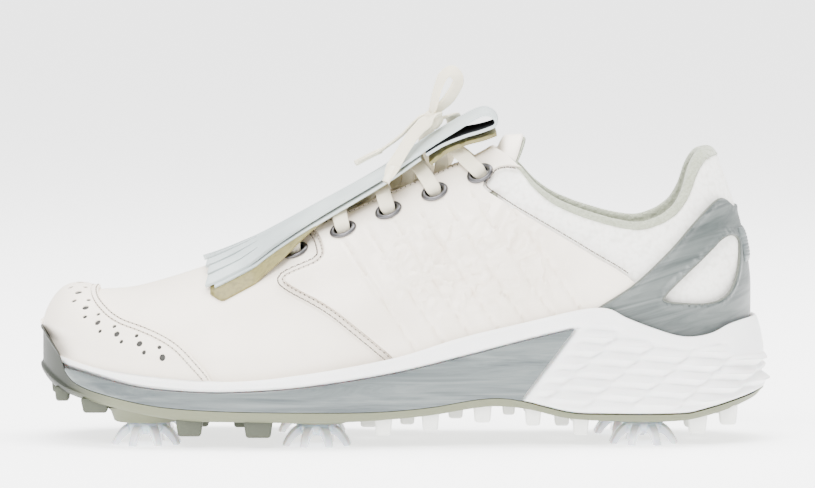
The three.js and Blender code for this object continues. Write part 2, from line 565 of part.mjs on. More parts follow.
function punched(shape, hands) {
  let result = shape.isBufferGeometry ? solid(shape) : shape;
  for (const hand of hands) {
    for (const x of EYELET_X) result = result.subtract(eyeletHole(x, hand * EYELET_FRACTION));
  }
  return result;
}

// ---- Laces ----
function ribbon(points, sides, width, thickness, cells) {
  // A flat lace along points; sides gives the direction of its width at each point.
  const curve = new THREE.CatmullRomCurve3(points.map((p) => (p.isVector3 ? p : new THREE.Vector3(...p))));
  const at = (u, v, offset) => {
    const sideways = new THREE.Vector3(...along(sides, u)).normalize();
    const normal = curve.getTangent(u).cross(sideways).normalize();
    return curve.getPoint(u).addScaledVector(sideways, (v - 0.5) * width).addScaledVector(normal, offset);
  };
  return solid(thickSheet(at, cells, 1, -thickness / 2, thickness / 2));
}
function strap(route, cells) {
  // A lace on the upper, through [station, v, offset] points.
  const points = route.map(([x, v, offset]) => skin(x, v, offset));
  const sides = route.map(([x, v, offset], i) => {
    const next = points[Math.min(i + 1, points.length - 1)].clone().sub(points[Math.max(i - 1, 0)]);
    const up = skin(x, v, offset + 1).sub(skin(x, v, offset));
    return up.cross(next).normalize().toArray();
  });
  return ribbon(points, sides, LACE_WIDTH - 0.5, LACE_THICKNESS, cells);
}
function crossing(i) {
  const [back, front] = [EYELET_X[i], EYELET_X[i - 1] + 5];
  const middle = (back + front) / 2;
  const one = (hand, lift) => strap([[back, hand * EYELET_FRACTION, 4.5], [back - 2, hand * 0.24, 4.5],
    [back - 4, hand * 0.17, 3.3], [middle, 0, lift], [front + 2, hand * -0.1, -0.2],
    [front, hand * -0.14, -1.4]], 8);
  return one(-1, 1.3).add(one(1, 0.3));
}
const firstBar = strap([-1, -0.75, -0.53, 0, 0.53, 0.75, 1].map((share) =>
  [EYELET_X[0], share * EYELET_FRACTION, share ** 2 > 0.2 ? 3.8 + Math.abs(share) * 0.7 : 1.6]), 8);

// ---- Bow, tails and their tips ----
const KNOT = [12.4, -5, 132.2];
const knotShape = solid(new THREE.SphereGeometry(1, 10, 6).scale(4.4, 5, 3.6).translate(...KNOT));
const LOOP_NEAR = [[11, -6.5, 136], [13.4, -8, 141], [16, -9, 148], [19.5, -9, 152], [23.6, -8, 150.6],
  [25.2, -6.5, 146], [22.5, -5, 141], [17.8, -4, 136]];
const LOOP_NEAR_SIDE = [[0.4, 1, 0], [0.5, 1, 0], [0.3, 1, 0.1], [0, 1, 0.1], [0, 1, 0], [0, 1, 0], [0, 1, 0],
  [0, 1, 0]];
const LOOP_FAR = [[16.5, 1.5, 132.6], [19.5, 9, 133.2], [21, 16, 132.6], [21.6, 22, 128.6], [20.6, 26, 121],
  [17.5, 28.6, 113], [14, 29, 108], [10.6, 28, 109], [9.4, 26, 114.5], [9.6, 23.6, 121], [10.2, 19, 126.6],
  [10.8, 11, 129.2], [11, 2.6, 130.6]];
const LOOP_FAR_SIDE = LOOP_FAR.map((_, i) => (i < 3 || i > 10 ? [1, 0, 0.6] : [1, 0, 0.1]));
const TAIL_SHORT = [[7, -4, 131.8], [4.4, -4.6, 129.6], [1, -5.8, 126.4], [-4, -5, 122.2], [-9, -1.6, 118.6]];
const TAIL_LONG = [[4.4, -10.5, 129], [2.6, -13, 126.4], [0.6, -16, 123], [-1.6, -19.4, 118.6],
  [-3.6, -22.6, 113.6]];
const TAIL_SHORT_TIP = [[-9.4, -1.2, 118.3], [-14, 2.6, 115.4], [-19, 6.4, 112.6]];
const TAIL_LONG_TIP = [[-3.8, -22.9, 113], [-5.2, -24.9, 108.6], [-6.8, -26.2, 104]];
const acrossFoot = (points) => points.map(() => [0.2, 1, 0]);
const alongFoot = (points) => points.map(() => [1, 0, 0.5]);

// ---- Kiltie: a leather flap with a fringed front end, folded under at the top ----
const kiltieMid = smooth([-82, 76.4], [-76, 78.6], [-68, 81.6], [-54, 87.8], [-35, 98], [-16, 108.6],
  [-5, 115.2], [9, 124.4], [20, 131], [30, 136.6]);
const kiltieHalf = smooth([-82, 28], [-68, 25], [-54, 22.5], [-35, 21.5], [9, 19.5], [40, 19]);
const kiltieDroop = smooth([-82, 11.5], [-70, 9], [-54, 5.5], [-35, 4.5], [9, 4], [40, 4]);
const KILTIE_THICKNESS = 1.2;
function kiltieStrip(path, low, high, cells, halfWidth = 1) {
  // A sheet whose middle line is path(u) = [x, z], drooping to both sides.
  const at = (u, v, offset) => {
    const [x, z] = path(u);
    const [x2, z2] = path(Math.min(u + 0.01, 1));
    const [x1, z1] = path(Math.max(u - 0.01, 0));
    const normal = new THREE.Vector3(z1 - z2, 0, x2 - x1).normalize();
    const w = 2 * v - 1;
    const point = new THREE.Vector3(x, w * kiltieHalf(x) * halfWidth, z - kiltieDroop(x) * w * w);
    return point.addScaledVector(normal, offset);
  };
  return solid(thickSheet(at, cells, 6, low, high));
}
const flapPath = (u) => {
  const x = THREE.MathUtils.lerp(-82, HINGE[0] - GAP, u);
  return [x, kiltieMid(x)];
};
const SLITS = 8;
const FRINGE_ROOT = -60;
function fringeSlits(flap) {
  // Cuts that divide the front end into strips, opening towards the tips.
  let result = flap;
  for (let i = 1; i < SLITS; i += 1) {
    const lean = (2 * i / SLITS - 1) * 0.16;
    const corners = [[0, 0.15], [-30, 0.7], [-30, -0.7], [0, -0.15]];
    const slit = new THREE.Shape(corners.map(([x, y]) => new THREE.Vector2(x, y)));
    const cut = new THREE.ExtrudeGeometry(slit, { depth: 60, bevelEnabled: false });
    const y = (2 * i / SLITS - 1) * kiltieHalf(FRINGE_ROOT);
    result = result.subtract(solid(cut.rotateZ(-lean).translate(FRINGE_ROOT, y, 50)));
  }
  return result;
}
const FOLD = [[HINGE[0] + GAP, 124.7], [14, 127.6], [20, 131], [30, 136.3], [35, 137.2], [38.6, 135],
  [38.4, 132.2], [33, 130.6], [26, 129.4], [18, 126], [13.5, 122.6], [10, 119]];
const foldCurve = new THREE.CatmullRomCurve3(FOLD.map(([x, z]) => new THREE.Vector3(x, 0, z)));
const foldPath = (u) => {
  const point = foldCurve.getPoint(u);
  return [point.x, point.z];
};
const BACKING = [[38.4, 129.4], [33, 128], [26, 126.6], [19, 123.6], [14.5, 120.4], [11, 116.8]];
const backingCurve = new THREE.CatmullRomCurve3(BACKING.map(([x, z]) => new THREE.Vector3(x, 0, z)));
const backingPath = (u) => {
  const point = backingCurve.getPoint(u);
  return [point.x, point.z];
};

// ---- Assembly ----
const PALE_GREY = 0xbac0c3;
const WHITE = 0xf5f5f5;
const LACE = 0xe4decd;
add('toe_cap', toeCap, LEATHER_COLOUR, 0.5);
add('toe_puff', toePuff, 0xd8d2c0, 0.8);
add('vamp', punched(vamp, [-1, 1]), LEATHER_COLOUR, 0.5);
add('vamp_lining', vampLining, 0xd9d6c8, 0.9);
add('quarter_lateral', punched(quarter(-1), [-1]).subtract(cageSpace), 0xece7de, 0.5);
add('quarter_medial', punched(quarter(1), [1]).subtract(cageSpace), 0xece7de, 0.5);
add('collar_panel_lateral', collarPanel(-1), 0xf2f1ee, 0.6);
add('collar_panel_medial', collarPanel(1), 0xf2f1ee, 0.6);
add('heel_tab', heelTab, 0xf2f1ee, 0.6);
add('heel_cage', heelCage, PALE_GREY, 0.45);
add('heel_pad', heelPad, 0xc8ccce, 0.5);
add('heel_counter', heelCounter, 0xd8d2c0, 0.7);
add('collar_foam', collarFoam, 0xe0dcc8, 0.9);
add('quarter_lining', punched(quarterLining, [-1, 1]), 0xbec2b6, 0.9);
add('tongue', tongue, 0xf0ece4, 0.6);
add('tongue_padding', tonguePadding, 0xbec2b6, 0.9);
add('strobel_board', strobelBoard, 0xd8d2c0, 0.9);
add('sockliner', sockliner, 0xbec2b6, 0.9);
add('shank', shankPlate(0), 0x303236, 0.6);
add('midsole', midsole, WHITE, 0.6);
add('side_band_lateral', band.intersect(half(-1)), PALE_GREY, 0.45);
add('side_band_medial', band.intersect(half(1)), PALE_GREY, 0.45);
add('outsole', outsole, 0xc4c6b6, 0.6);
CLEATS.forEach(([x, y], i) => {
  add(`receptacle_${i + 1}`, receptacle(x, y), 0x8c9298, 0.5);
  add(`cleat_${i + 1}`, cleat(x, y), 0xbec6d0, 0.25);
});
for (const [name, hand] of [['lateral', -1], ['medial', 1]]) {
  EYELET_X.forEach((x, i) => {
    add(`eyelet_${name}_${i + 1}`, eyelet(x, hand * EYELET_FRACTION), 0x55565a, 0.3, 1);
  });
}
add('lace_bar_1', firstBar, LACE, 0.9);
for (let i = 1; i < EYELET_X.length; i += 1) add(`lace_crossing_${i + 1}`, crossing(i), LACE, 0.9);
add('lace_knot', knotShape, LACE, 0.9);
add('bow_loop_near', ribbon(LOOP_NEAR, LOOP_NEAR_SIDE, LACE_WIDTH, LACE_THICKNESS, 18), LACE, 0.9);
add('bow_loop_far', ribbon(LOOP_FAR, LOOP_FAR_SIDE, LACE_WIDTH, LACE_THICKNESS, 18), LACE, 0.9);
add('lace_tail_short', ribbon(TAIL_SHORT, acrossFoot(TAIL_SHORT), LACE_WIDTH, LACE_THICKNESS, 8), LACE, 0.9);
add('lace_tail_long', ribbon(TAIL_LONG, alongFoot(TAIL_LONG), LACE_WIDTH, LACE_THICKNESS, 8), LACE, 0.9);
const AGLET = [3.2, 2.2];
add('aglet_short', ribbon(TAIL_SHORT_TIP, acrossFoot(TAIL_SHORT_TIP), ...AGLET, 3), 0xe9e6da, 0.3);
add('aglet_long', ribbon(TAIL_LONG_TIP, alongFoot(TAIL_LONG_TIP), ...AGLET, 3), 0xe9e6da, 0.3);
add('kiltie_flap', fringeSlits(kiltieStrip(flapPath, -KILTIE_THICKNESS, 0, 9)), 0xd6dede, 0.5);
add('kiltie_fold', kiltieStrip(foldPath, -KILTIE_THICKNESS, 0, 16), 0xd6dede, 0.5);
add('kiltie_backing', kiltieStrip(backingPath, 0, 1.6, 6, 0.9), 0xbeb894, 0.7);

// The origin is on the ground under the middle of the shoe's own box, which leaves out the bow.
const BOW = /^(bow_loop|lace_tail|aglet)/;
const shoe = new THREE.Group();
const ownBox = new THREE.Box3();
for (const mesh of solids) {
  shoe.add(mesh);
  if (!BOW.test(mesh.name)) ownBox.expandByObject(mesh);
}
const middle = ownBox.getCenter(new THREE.Vector3());
shoe.position.set(-middle.x, -middle.y, -ownBox.min.z);
export default shoe;
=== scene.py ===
"""A golf shoe with a fringed kiltie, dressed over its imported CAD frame.

Shapes are worked out in millimetres on the shoe's last, the foot-shaped form that the upper is
wrapped round, and are put into Blender in metres. Stations run along the foot from toe to heel,
and t runs from 0 at the ridge of the instep to 1 at the sole.
"""
import json
import math

import bmesh
import bpy
import numpy as np
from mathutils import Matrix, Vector
from mathutils.geometry import delaunay_2d_cdt


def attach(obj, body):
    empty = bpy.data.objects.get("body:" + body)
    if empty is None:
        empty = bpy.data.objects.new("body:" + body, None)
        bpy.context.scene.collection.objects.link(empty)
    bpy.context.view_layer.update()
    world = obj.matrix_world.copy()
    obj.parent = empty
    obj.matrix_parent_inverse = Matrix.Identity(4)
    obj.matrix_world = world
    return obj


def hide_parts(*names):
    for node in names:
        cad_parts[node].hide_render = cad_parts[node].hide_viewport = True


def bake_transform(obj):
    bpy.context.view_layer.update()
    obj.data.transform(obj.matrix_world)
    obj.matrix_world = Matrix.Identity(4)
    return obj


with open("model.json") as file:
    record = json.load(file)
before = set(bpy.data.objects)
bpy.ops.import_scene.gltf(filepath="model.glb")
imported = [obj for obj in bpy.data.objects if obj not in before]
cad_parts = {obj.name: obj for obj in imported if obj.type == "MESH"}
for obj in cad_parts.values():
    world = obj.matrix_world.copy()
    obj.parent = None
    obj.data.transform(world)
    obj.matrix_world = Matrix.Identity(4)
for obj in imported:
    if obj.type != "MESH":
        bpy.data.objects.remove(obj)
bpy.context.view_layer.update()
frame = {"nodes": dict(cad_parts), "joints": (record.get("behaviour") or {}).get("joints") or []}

# ---- Driving dimensions, in millimetres ----
MM = 0.001
TOE, HEEL = -144.8, 143.5              # ends of the upper
SOLE_TOE, SOLE_HEEL = -150.0, 150.0    # ends of the sole
SIDE_GROW = 4.6                        # how far the sole stands outside the upper
THROAT = -52.0                         # front end of the lacing opening
STAY = 0.17                            # eyestay edge
LEATHER = 1.6
EYELET_X = (-44.0, -23.8, -5.2, 13.7, 32.5)
EYELET_T = 0.32
LACE_WIDTH, LACE_THICKNESS = 6.5, 1.3
CLEAT_AT = ((-105, -27), (-103, 27), (-35, -33), (-38, 29), (99, -23), (94, 23))
SIDE_SHIFT = 0.84                      # how far the last's middle line lies to the medial side


# ---- Smooth profiles of the last and the sole, as functions of the station ----
def smooth(*knots):
    """A smooth curve through (x, value) knots, flat beyond both ends."""
    xs = np.array([k[0] for k in knots], float)
    ys = np.array([k[1] for k in knots], float)
    before = np.maximum(np.arange(len(xs)) - 1, 0)
    after = np.minimum(np.arange(len(xs)) + 1, len(xs) - 1)
    slopes = (ys[after] - ys[before]) / (xs[after] - xs[before])

    def value(x):
        x = np.clip(np.asarray(x, float), xs[0], xs[-1])
        i = np.clip(np.searchsorted(xs, x, side="right") - 1, 0, len(xs) - 2)
        span = xs[i + 1] - xs[i]
        t = (x - xs[i]) / span
        start = (1 + 2 * t) * (1 - t) ** 2 * ys[i] + t * (1 - t) ** 2 * span * slopes[i]
        return start + t * t * (3 - 2 * t) * ys[i + 1] - t * t * (1 - t) * span * slopes[i + 1]
    return value


def ramp(low, high, x):
    """0 below low, 1 above high, smooth between."""
    t = np.clip((np.asarray(x, float) - low) / (high - low), 0, 1)
    return t * t * (3 - 2 * t)


def mix(a, b, t):
    return a + (b - a) * t


def unit(vectors):
    return vectors / np.maximum(np.linalg.norm(vectors, axis=-1, keepdims=True), 1e-9)


def reach_along(points):
    """Distance from the first point to each point along a line."""
    return np.concatenate([[0], np.cumsum(np.linalg.norm(np.diff(points, axis=0), axis=1))])


centre_y = smooth((-150, 7), (-100, 3), (-40, 0), (150, 0))
lateral_width = smooth((-150, 50), (-95, 50), (-45, 51), (0, 45), (40, 39.5), (90, 36.5), (150, 35))
medial_width = smooth((-150, 41), (-95, 46), (-65, 48), (-20, 40), (20, 34), (60, 32.5), (100, 34.5),
                      (150, 34))
bed_height = smooth((-150, 33), (-120, 25.5), (-76, 21.5), (-20, 23), (40, 29), (90, 34), (150, 35))
ridge_height = smooth((-145.5, 45), (-143.5, 51.5), (-139.5, 57.6), (-134, 60.8), (-125, 61.6), (-110, 63),
                      (-83, 71), (-60, 80), (-38, 89.5), (-24, 95), (-5, 104), (14, 112.5), (32, 120.5),
                      (44, 128), (70, 143), (100, 152), (150, 158))
top_line = smooth((34, 119.5), (39, 119.8), (45, 116), (50, 111), (55, 105), (61.5, 100), (70, 96),
                  (80, 92.6), (89, 90.3), (96, 89.4), (103, 90.8), (110, 94.3), (116, 101), (119.5, 110),
                  (124, 117), (131, 119), (140, 119))
sole_bottom = smooth((-150, 28), (-143, 23), (-136.8, 20.4), (-125, 17.5), (-92.5, 11.7), (-63, 10.9),
                     (-20, 10.9), (10, 13), (35, 16.5), (50, 15.5), (68, 11.4), (90, 10.2), (115, 10.4),
                     (130, 13.5), (144, 18), (150, 21))
outsole_top = smooth((-150, 46.6), (-148.8, 46.6), (-144.5, 41.5), (-141, 37), (-138.5, 30.5), (-136, 27),
                     (-133, 24.9), (-125, 22.1), (-102, 17.4), (-79, 15.6), (-46, 15), (-11, 14.9), (11, 16.5),
                     (29, 19.3), (39, 20), (48, 18.9), (67, 14.2), (77, 13.3), (115, 13.3), (125, 15.3),
                     (136, 18.2), (150, 22))
band_top = smooth((-140, 32), (-130, 30), (-119, 27.4), (-108, 25.2), (-92, 23.8), (-72, 23.3), (-40, 25.5),
                  (-4, 30.8), (24, 37.2), (50, 43.8), (72, 49))
sole_top = smooth((-150, 38), (-140, 35.5), (-119, 30.8), (-92, 28), (-76, 27.3), (-50, 29.2), (-4, 36.8),
                  (24, 45), (50, 51), (70, 55.6), (78, 56.8), (85, 56.2), (91, 53), (103, 48.3), (113, 45.3),
                  (120, 45), (127, 46.4), (134, 49.6), (143, 51.5), (150, 51.5))


def round_end(distance, length, power):
    share = np.clip(1 - np.asarray(distance, float) / length, 0, 1)
    return (1 - share ** power) ** (1 / power)


def outline_y(x, side, toe, heel, grow):
    """Half outline in plan. side is -1 on the lateral half and +1 on the medial half."""
    width = np.where(side < 0, lateral_width(x), medial_width(x)) + grow
    return centre_y(x) + side * width * round_end(x - toe, 64, 2.25) * round_end(heel - x, 38, 2.2)


def squareness(x):
    return mix(0.8, 1.0, ramp(-120, -60, x))


def heel_lean(z):
    """How far the back of the heel leans towards the toe at the height z."""
    return 13.3 * (np.maximum(z - 64, 0) / 53) ** 1.6


def last_point(x, v):
    """The last's surface at station x and signed v: -1 lateral sole edge, 0 ridge, +1 medial."""
    x, v = np.broadcast_arrays(np.asarray(x, float), np.asarray(v, float))
    t = np.abs(v)
    side = np.where(v < 0, -1.0, 1.0)
    angle = t * math.pi / 2
    bulge = 1 - 0.05 * ramp(0.8, 1, t)
    edge = outline_y(x, side, TOE, HEEL, 0) - centre_y(x)
    y = centre_y(x) + edge * np.sin(angle) ** mix(1.2, 0.95, ramp(20, 80, x)) * bulge
    z = mix(bed_height(x), ridge_height(x), np.clip(np.cos(angle), 0, 1) ** squareness(x))
    lean = heel_lean(z) * ramp(75, 140, x)
    return np.stack([x - lean, y + SIDE_SHIFT, z], -1)


def skin_normal(x, v):
    dx, dv = 0.4, 0.012
    along_x = last_point(np.minimum(x + dx, HEEL), v) - last_point(np.maximum(x - dx, TOE), v)
    along_v = last_point(x, np.minimum(v + dv, 1)) - last_point(x, np.maximum(v - dv, -1))
    normal = np.cross(along_x, along_v)
    at_end = (np.asarray(x) <= TOE + 1e-6) | (np.asarray(x) >= HEEL - 1e-6)
    normal[..., 1] = np.where(at_end, 0, normal[..., 1])
    return unit(normal)


def skin(x, v, offset):
    """A point at a distance outside the last."""
    x, v, offset = np.broadcast_arrays(*(np.asarray(value, float) for value in (x, v, offset)))
    return last_point(x, v) + skin_normal(x, v) * offset[..., None]


def fraction(x, z):
    """t of the height z at station x."""
    share = np.clip((z - bed_height(x)) / (ridge_height(x) - bed_height(x)), 0, 1)
    return np.arccos(share ** (1 / squareness(x))) / (math.pi / 2)


def place(x, z):
    """Station and t of a spot that is seen from the side at x, z."""
    station = float(x)
    for _ in range(12):
        station = min(x + float(heel_lean(z) * ramp(75, 140, station)), HEEL)
    return station, float(fraction(station, z))


# ---- Camera, floor and lights ----
def look_at(obj, target):
    obj.rotation_euler = (Vector(target) - obj.location).to_track_quat("-Z", "Y").to_euler()


def camera():
    aim = Vector((0.0021, 0, 0.0805))
    data = bpy.data.cameras.new("camera")
    data.sensor_width = 36
    data.lens = 277.6
    obj = bpy.data.objects.new("camera", data)
    elevation = math.radians(3.5)
    obj.location = aim + 2.6 * Vector((0, -math.cos(elevation), math.sin(elevation)))
    look_at(obj, aim)
    bpy.context.scene.collection.objects.link(obj)
    bpy.context.scene.camera = obj


def area_light(name, place_at, aim, size, power):
    data = bpy.data.lights.new(name, "AREA")
    data.shape = "RECTANGLE"
    data.size, data.size_y = size
    data.energy = power
    obj = bpy.data.objects.new(name, data)
    obj.location = place_at
    look_at(obj, aim)
    bpy.context.scene.collection.objects.link(obj)


# ---- Materials: all procedural ----
def new_material(name, colour, roughness, metallic=0.0):
    material = bpy.data.materials.new(name)
    material.use_nodes = True
    shader = material.node_tree.nodes["Principled BSDF"]
    shader.inputs["Base Color"].default_value = (*colour, 1)
    shader.inputs["Roughness"].default_value = roughness
    shader.inputs["Metallic"].default_value = metallic
    return material


def node(material, kind, inputs=None, **settings):
    """Adds a shader node; inputs maps socket names to values or to other nodes' outputs."""
    made = material.node_tree.nodes.new(kind)
    for key, value in settings.items():
        setattr(made, key, value)
    for key, value in (inputs or {}).items():
        if isinstance(value, bpy.types.NodeSocket):
            material.node_tree.links.new(value, made.inputs[key])
        else:
            made.inputs[key].default_value = value
    return made


def place_on(material):
    """Where a shaded spot is on its object, in metres."""
    return node(material, "ShaderNodeTexCoord").outputs["Object"]


def noise(material, scale, detail=4.0, roughness=0.55):
    inputs = {"Vector": place_on(material), "Scale": scale, "Detail": detail, "Roughness": roughness}
    return node(material, "ShaderNodeTexNoise", inputs).outputs[0]


def cells(material, scale, feature="F1"):
    inputs = {"Vector": place_on(material), "Scale": scale}
    return node(material, "ShaderNodeTexVoronoi", inputs, feature=feature).outputs["Distance"]


def blend_colours(material, amount, dark, light, low=0.35, high=0.65):
    """Drives the base colour between two colours."""
    share = node(material, "ShaderNodeMapRange", {"Value": amount, "From Min": low, "From Max": high})
    mixed = node(material, "ShaderNodeMix", {"Factor": share.outputs[0]}, data_type="RGBA")
    mixed.inputs["A"].default_value = (*dark, 1)
    mixed.inputs["B"].default_value = (*light, 1)
    shader = material.node_tree.nodes["Principled BSDF"]
    material.node_tree.links.new(mixed.outputs["Result"], shader.inputs["Base Color"])


def vary_roughness(material, amount, low, high):
    value = node(material, "ShaderNodeMapRange", {"Value": amount, "To Min": low, "To Max": high})
    shader = material.node_tree.nodes["Principled BSDF"]
    material.node_tree.links.new(value.outputs[0], shader.inputs["Roughness"])


def bump(material, *layers):
    """Stacks bumps; each layer is (height socket, depth in metres, strength)."""
    below = None
    for height, depth, strength in layers:
        inputs = {"Height": height, "Distance": depth, "Strength": strength}
        if below is not None:
            inputs["Normal"] = below
        below = node(material, "ShaderNodeBump", inputs).outputs[0]
    material.node_tree.links.new(below, material.node_tree.nodes["Principled BSDF"].inputs["Normal"])


def shade(material, **values):
    shader = material.node_tree.nodes["Principled BSDF"]
    for key, value in values.items():
        shader.inputs[key.replace("_", " ")].default_value = value


def rgb(red, green, blue):
    """An sRGB colour of 0 to 255 as linear light."""
    shares = (value / 255 for value in (red, green, blue))
    return tuple(c / 12.92 if c <= 0.04 else ((c + 0.055) / 1.055) ** 2.4 for c in shares)


def leather(name, light, dark, roughness=0.42):
    """Smooth coated leather: a fine pore grain over slow creases, and a faint mottle."""
    material = new_material(name, light, roughness)
    blend_colours(material, noise(material, 22, 3), dark, light, 0.38, 0.62)
    vary_roughness(material, noise(material, 160, 3), roughness - 0.07, roughness + 0.1)
    bump(material, (noise(material, 60, 5), 0.0005, 0.12), (cells(material, 1500), 0.00012, 0.3))
    shade(material, Coat_Weight=0.12, Coat_Roughness=0.35, Specular_IOR_Level=0.45)
    return material


def pebbled_leather(name, light, dark):
    """Tumbled leather: round pebbles parted by fine valleys, which are painted darker as shade."""
    material = new_material(name, light, 0.5)
    pebbles = cells(material, 620, "SMOOTH_F1")
    # Painted shade: the valleys between the pebbles are coloured darker.
    blend_colours(material, pebbles, light, dark, 0.35, 0.95)
    bump(material, (pebbles, 0.0008, -0.7), (noise(material, 2600, 3), 0.0001, 0.2))
    return material


def felt(name, light, dark):
    """Brushed knit lining: short fibres and a faint knit of cells."""
    material = new_material(name, light, 0.95)
    blend_colours(material, noise(material, 900, 6, roughness=0.75), dark, light, 0.3, 0.7)
    bump(material, (noise(material, 1100, 5), 0.0007, 0.7), (cells(material, 480), 0.0007, 0.6))
    shade(material, Sheen_Weight=0.4, Sheen_Roughness=0.5)
    return material


def mesh_knit(name, light, dark):
    """Open spacer mesh, with a regular net of small holes that are painted dark as shade."""
    material = new_material(name, light, 0.9)
    net = cells(material, 520, "DISTANCE_TO_EDGE")
    # Painted shade: the sunken holes are coloured darker.
    blend_colours(material, net, light, dark, 0.05, 0.4)
    bump(material, (net, 0.0006, -0.6), (noise(material, 2400, 3), 0.0002, 0.4))
    return material


def moulded_foam(name, light, dark):
    material = new_material(name, light, 0.5)
    blend_colours(material, noise(material, 30, 3), dark, light)
    bump(material, (noise(material, 1400, 3), 0.00008, 0.3), (noise(material, 90, 3), 0.0004, 0.1))
    shade(material, Subsurface_Weight=0.08, Subsurface_Scale=0.004)
    return material


def streaked_tpu(name, light, dark, slope=0.0):
    """Moulded plastic with drawn-out marbling along the foot."""
    material = new_material(name, light, 0.38)
    turned = node(material, "ShaderNodeMapping", {"Vector": place_on(material), "Rotation": (0, slope, 0)})
    drawn = node(material, "ShaderNodeMapping", {"Vector": turned.outputs[0], "Scale": (7, 20, 120)})
    inputs = {"Vector": drawn.outputs[0], "Scale": 1.6, "Detail": 7.0, "Roughness": 0.62, "Distortion": 1.2}
    streaks = node(material, "ShaderNodeTexNoise", inputs).outputs[0]
    blend_colours(material, streaks, dark, light, 0.36, 0.66)
    vary_roughness(material, streaks, 0.46, 0.3)
    bump(material, (streaks, 0.0002, 0.12), (noise(material, 1500, 2), 0.00006, 0.3))
    return material


def rubber(name, light, dark, roughness=0.55, nose=None):
    """Moulded rubber; with a nose colour it darkens towards the toe."""
    material = new_material(name, light, roughness)
    if nose:
        along_foot = node(material, "ShaderNodeSeparateXYZ", {"Vector": place_on(material)}).outputs["X"]
        blend_colours(material, along_foot, nose, light, -0.138, -0.118)
    else:
        blend_colours(material, noise(material, 45, 4), dark, light)
    bump(material, (noise(material, 1300, 3), 0.0001, 0.35), (noise(material, 70, 3), 0.0004, 0.1))
    return material


def spike_plastic(name):
    """Cloudy bluish polyurethane that lets light through."""
    material = new_material(name, rgb(234, 238, 244), 0.2)
    blend_colours(material, noise(material, 60, 3), rgb(214, 222, 232), rgb(248, 250, 252))
    bump(material, (noise(material, 700, 3), 0.0001, 0.2))
    shade(material, Transmission_Weight=0.3, IOR=1.5, Subsurface_Weight=0.3, Subsurface_Scale=0.006)
    return material


def eyelet_metal(name):
    material = new_material(name, rgb(96, 95, 97), 0.24, 1.0)
    vary_roughness(material, noise(material, 900, 3), 0.2, 0.42)
    bump(material, (noise(material, 1200, 2), 0.00005, 0.3))
    return material


def woven_cotton(name, light, dark):
    """Flat woven lace, with painted shade in the gaps between its threads; its UVs are metres along and across
    the tape.
    """
    material = new_material(name, light, 0.85)
    where = node(material, "ShaderNodeTexCoord").outputs["UV"]
    ribs = []
    for slant in (0.75, -0.75):
        turned = node(material, "ShaderNodeMapping", {"Vector": where, "Rotation": (0, 0, slant)}).outputs[0]
        inputs = {"Vector": turned, "Scale": 900.0, "Distortion": 0.6, "Detail": 1.0}
        ribs.append(node(material, "ShaderNodeTexWave", inputs, wave_type="BANDS").outputs["Fac"])
    crossed = node(material, "ShaderNodeMath", {0: ribs[0], 1: ribs[1]}, operation="MULTIPLY")
    weave = crossed.outputs[0]
    # Painted shade: the low gaps between the threads are coloured darker.
    blend_colours(material, weave, dark, light, 0.0, 0.55)
    bump(material, (weave, 0.0003, 0.7), (noise(material, 3000, 3), 0.0001, 0.3))
    shade(material, Sheen_Weight=0.25)
    return material


def stitching_thread(name, colour):
    material = new_material(name, colour, 0.6)
    bump(material, (noise(material, 4000, 3), 0.0001, 0.5))
    return material


def plain_matte(name, colour, roughness=0.8):
    """A plain matte finish with a faint grain: the hidden pressed-fibre stiffening pieces, and the flat dark of
    the painted shade in needle holes, brogue holes, eyelets and the kiltie's fold.
    """
    material = new_material(name, colour, roughness)
    bump(material, (noise(material, 800, 4), 0.0002, 0.3))
    return material


# ---- Mesh making ----
def mesh_object(name, points, faces, material, merge=0.0):
    """A smooth-shaded object from points in millimetres."""
    mesh = bpy.data.meshes.new(name)
    mesh.from_pydata((np.asarray(points) * MM).tolist(), [], [list(map(int, face)) for face in faces])
    if merge:
        work = bmesh.new()
        work.from_mesh(mesh)
        bmesh.ops.remove_doubles(work, verts=work.verts, dist=merge * MM)
        work.to_mesh(mesh)
        work.free()
    mesh.shade_smooth()
    mesh.materials.append(material)
    obj = bpy.data.objects.new(name, mesh)
    bpy.context.scene.collection.objects.link(obj)
    return obj


def thicken(obj, thickness, edge=0.35, inward=True):
    """Gives a sheet its thickness and rounds its edges."""
    solid = obj.modifiers.new("thickness", "SOLIDIFY")
    solid.thickness = thickness * MM
    solid.offset = -1 if inward else 1
    if edge:
        bevel(obj, edge)
    return obj


def bevel(obj, width, segments=2, angle=50):
    cut = obj.modifiers.new("rounded edges", "BEVEL")
    cut.width = width * MM
    cut.segments = segments
    cut.limit_method = "ANGLE"
    cut.angle_limit = math.radians(angle)
    cut.use_clamp_overlap = True
    cut.harden_normals = False
    return obj


def stand(obj, body="root", cad=()):
    """Puts a finished piece on its body, and hides the CAD nodes that it stands for."""
    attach(obj, body)
    if cad:
        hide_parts(*cad)
    return obj


def inside(points, ring):
    """Which points of a plane lie inside a closed ring."""
    x, y = points.T
    result = np.zeros(len(points), bool)
    for (ax, ay), (bx, by) in zip(ring, np.roll(ring, -1, axis=0)):
        if ay != by:
            result ^= ((ay > y) != (by > y)) & (x < (bx - ax) * (y - ay) / (by - ay) + ax)
    return result


def evenly(path, step, closed=False):
    """The path with points a step apart, keeping its corners."""
    points = np.asarray(path, float)
    if closed:
        points = np.vstack([points, points[:1]])
    result = []
    for a, b in zip(points[:-1], points[1:]):
        count = max(int(round(np.linalg.norm(b - a) / step)), 1)
        result.extend(a + (b - a) * k / count for k in range(count))
    if not closed:
        result.append(points[-1])
    return np.array(result)


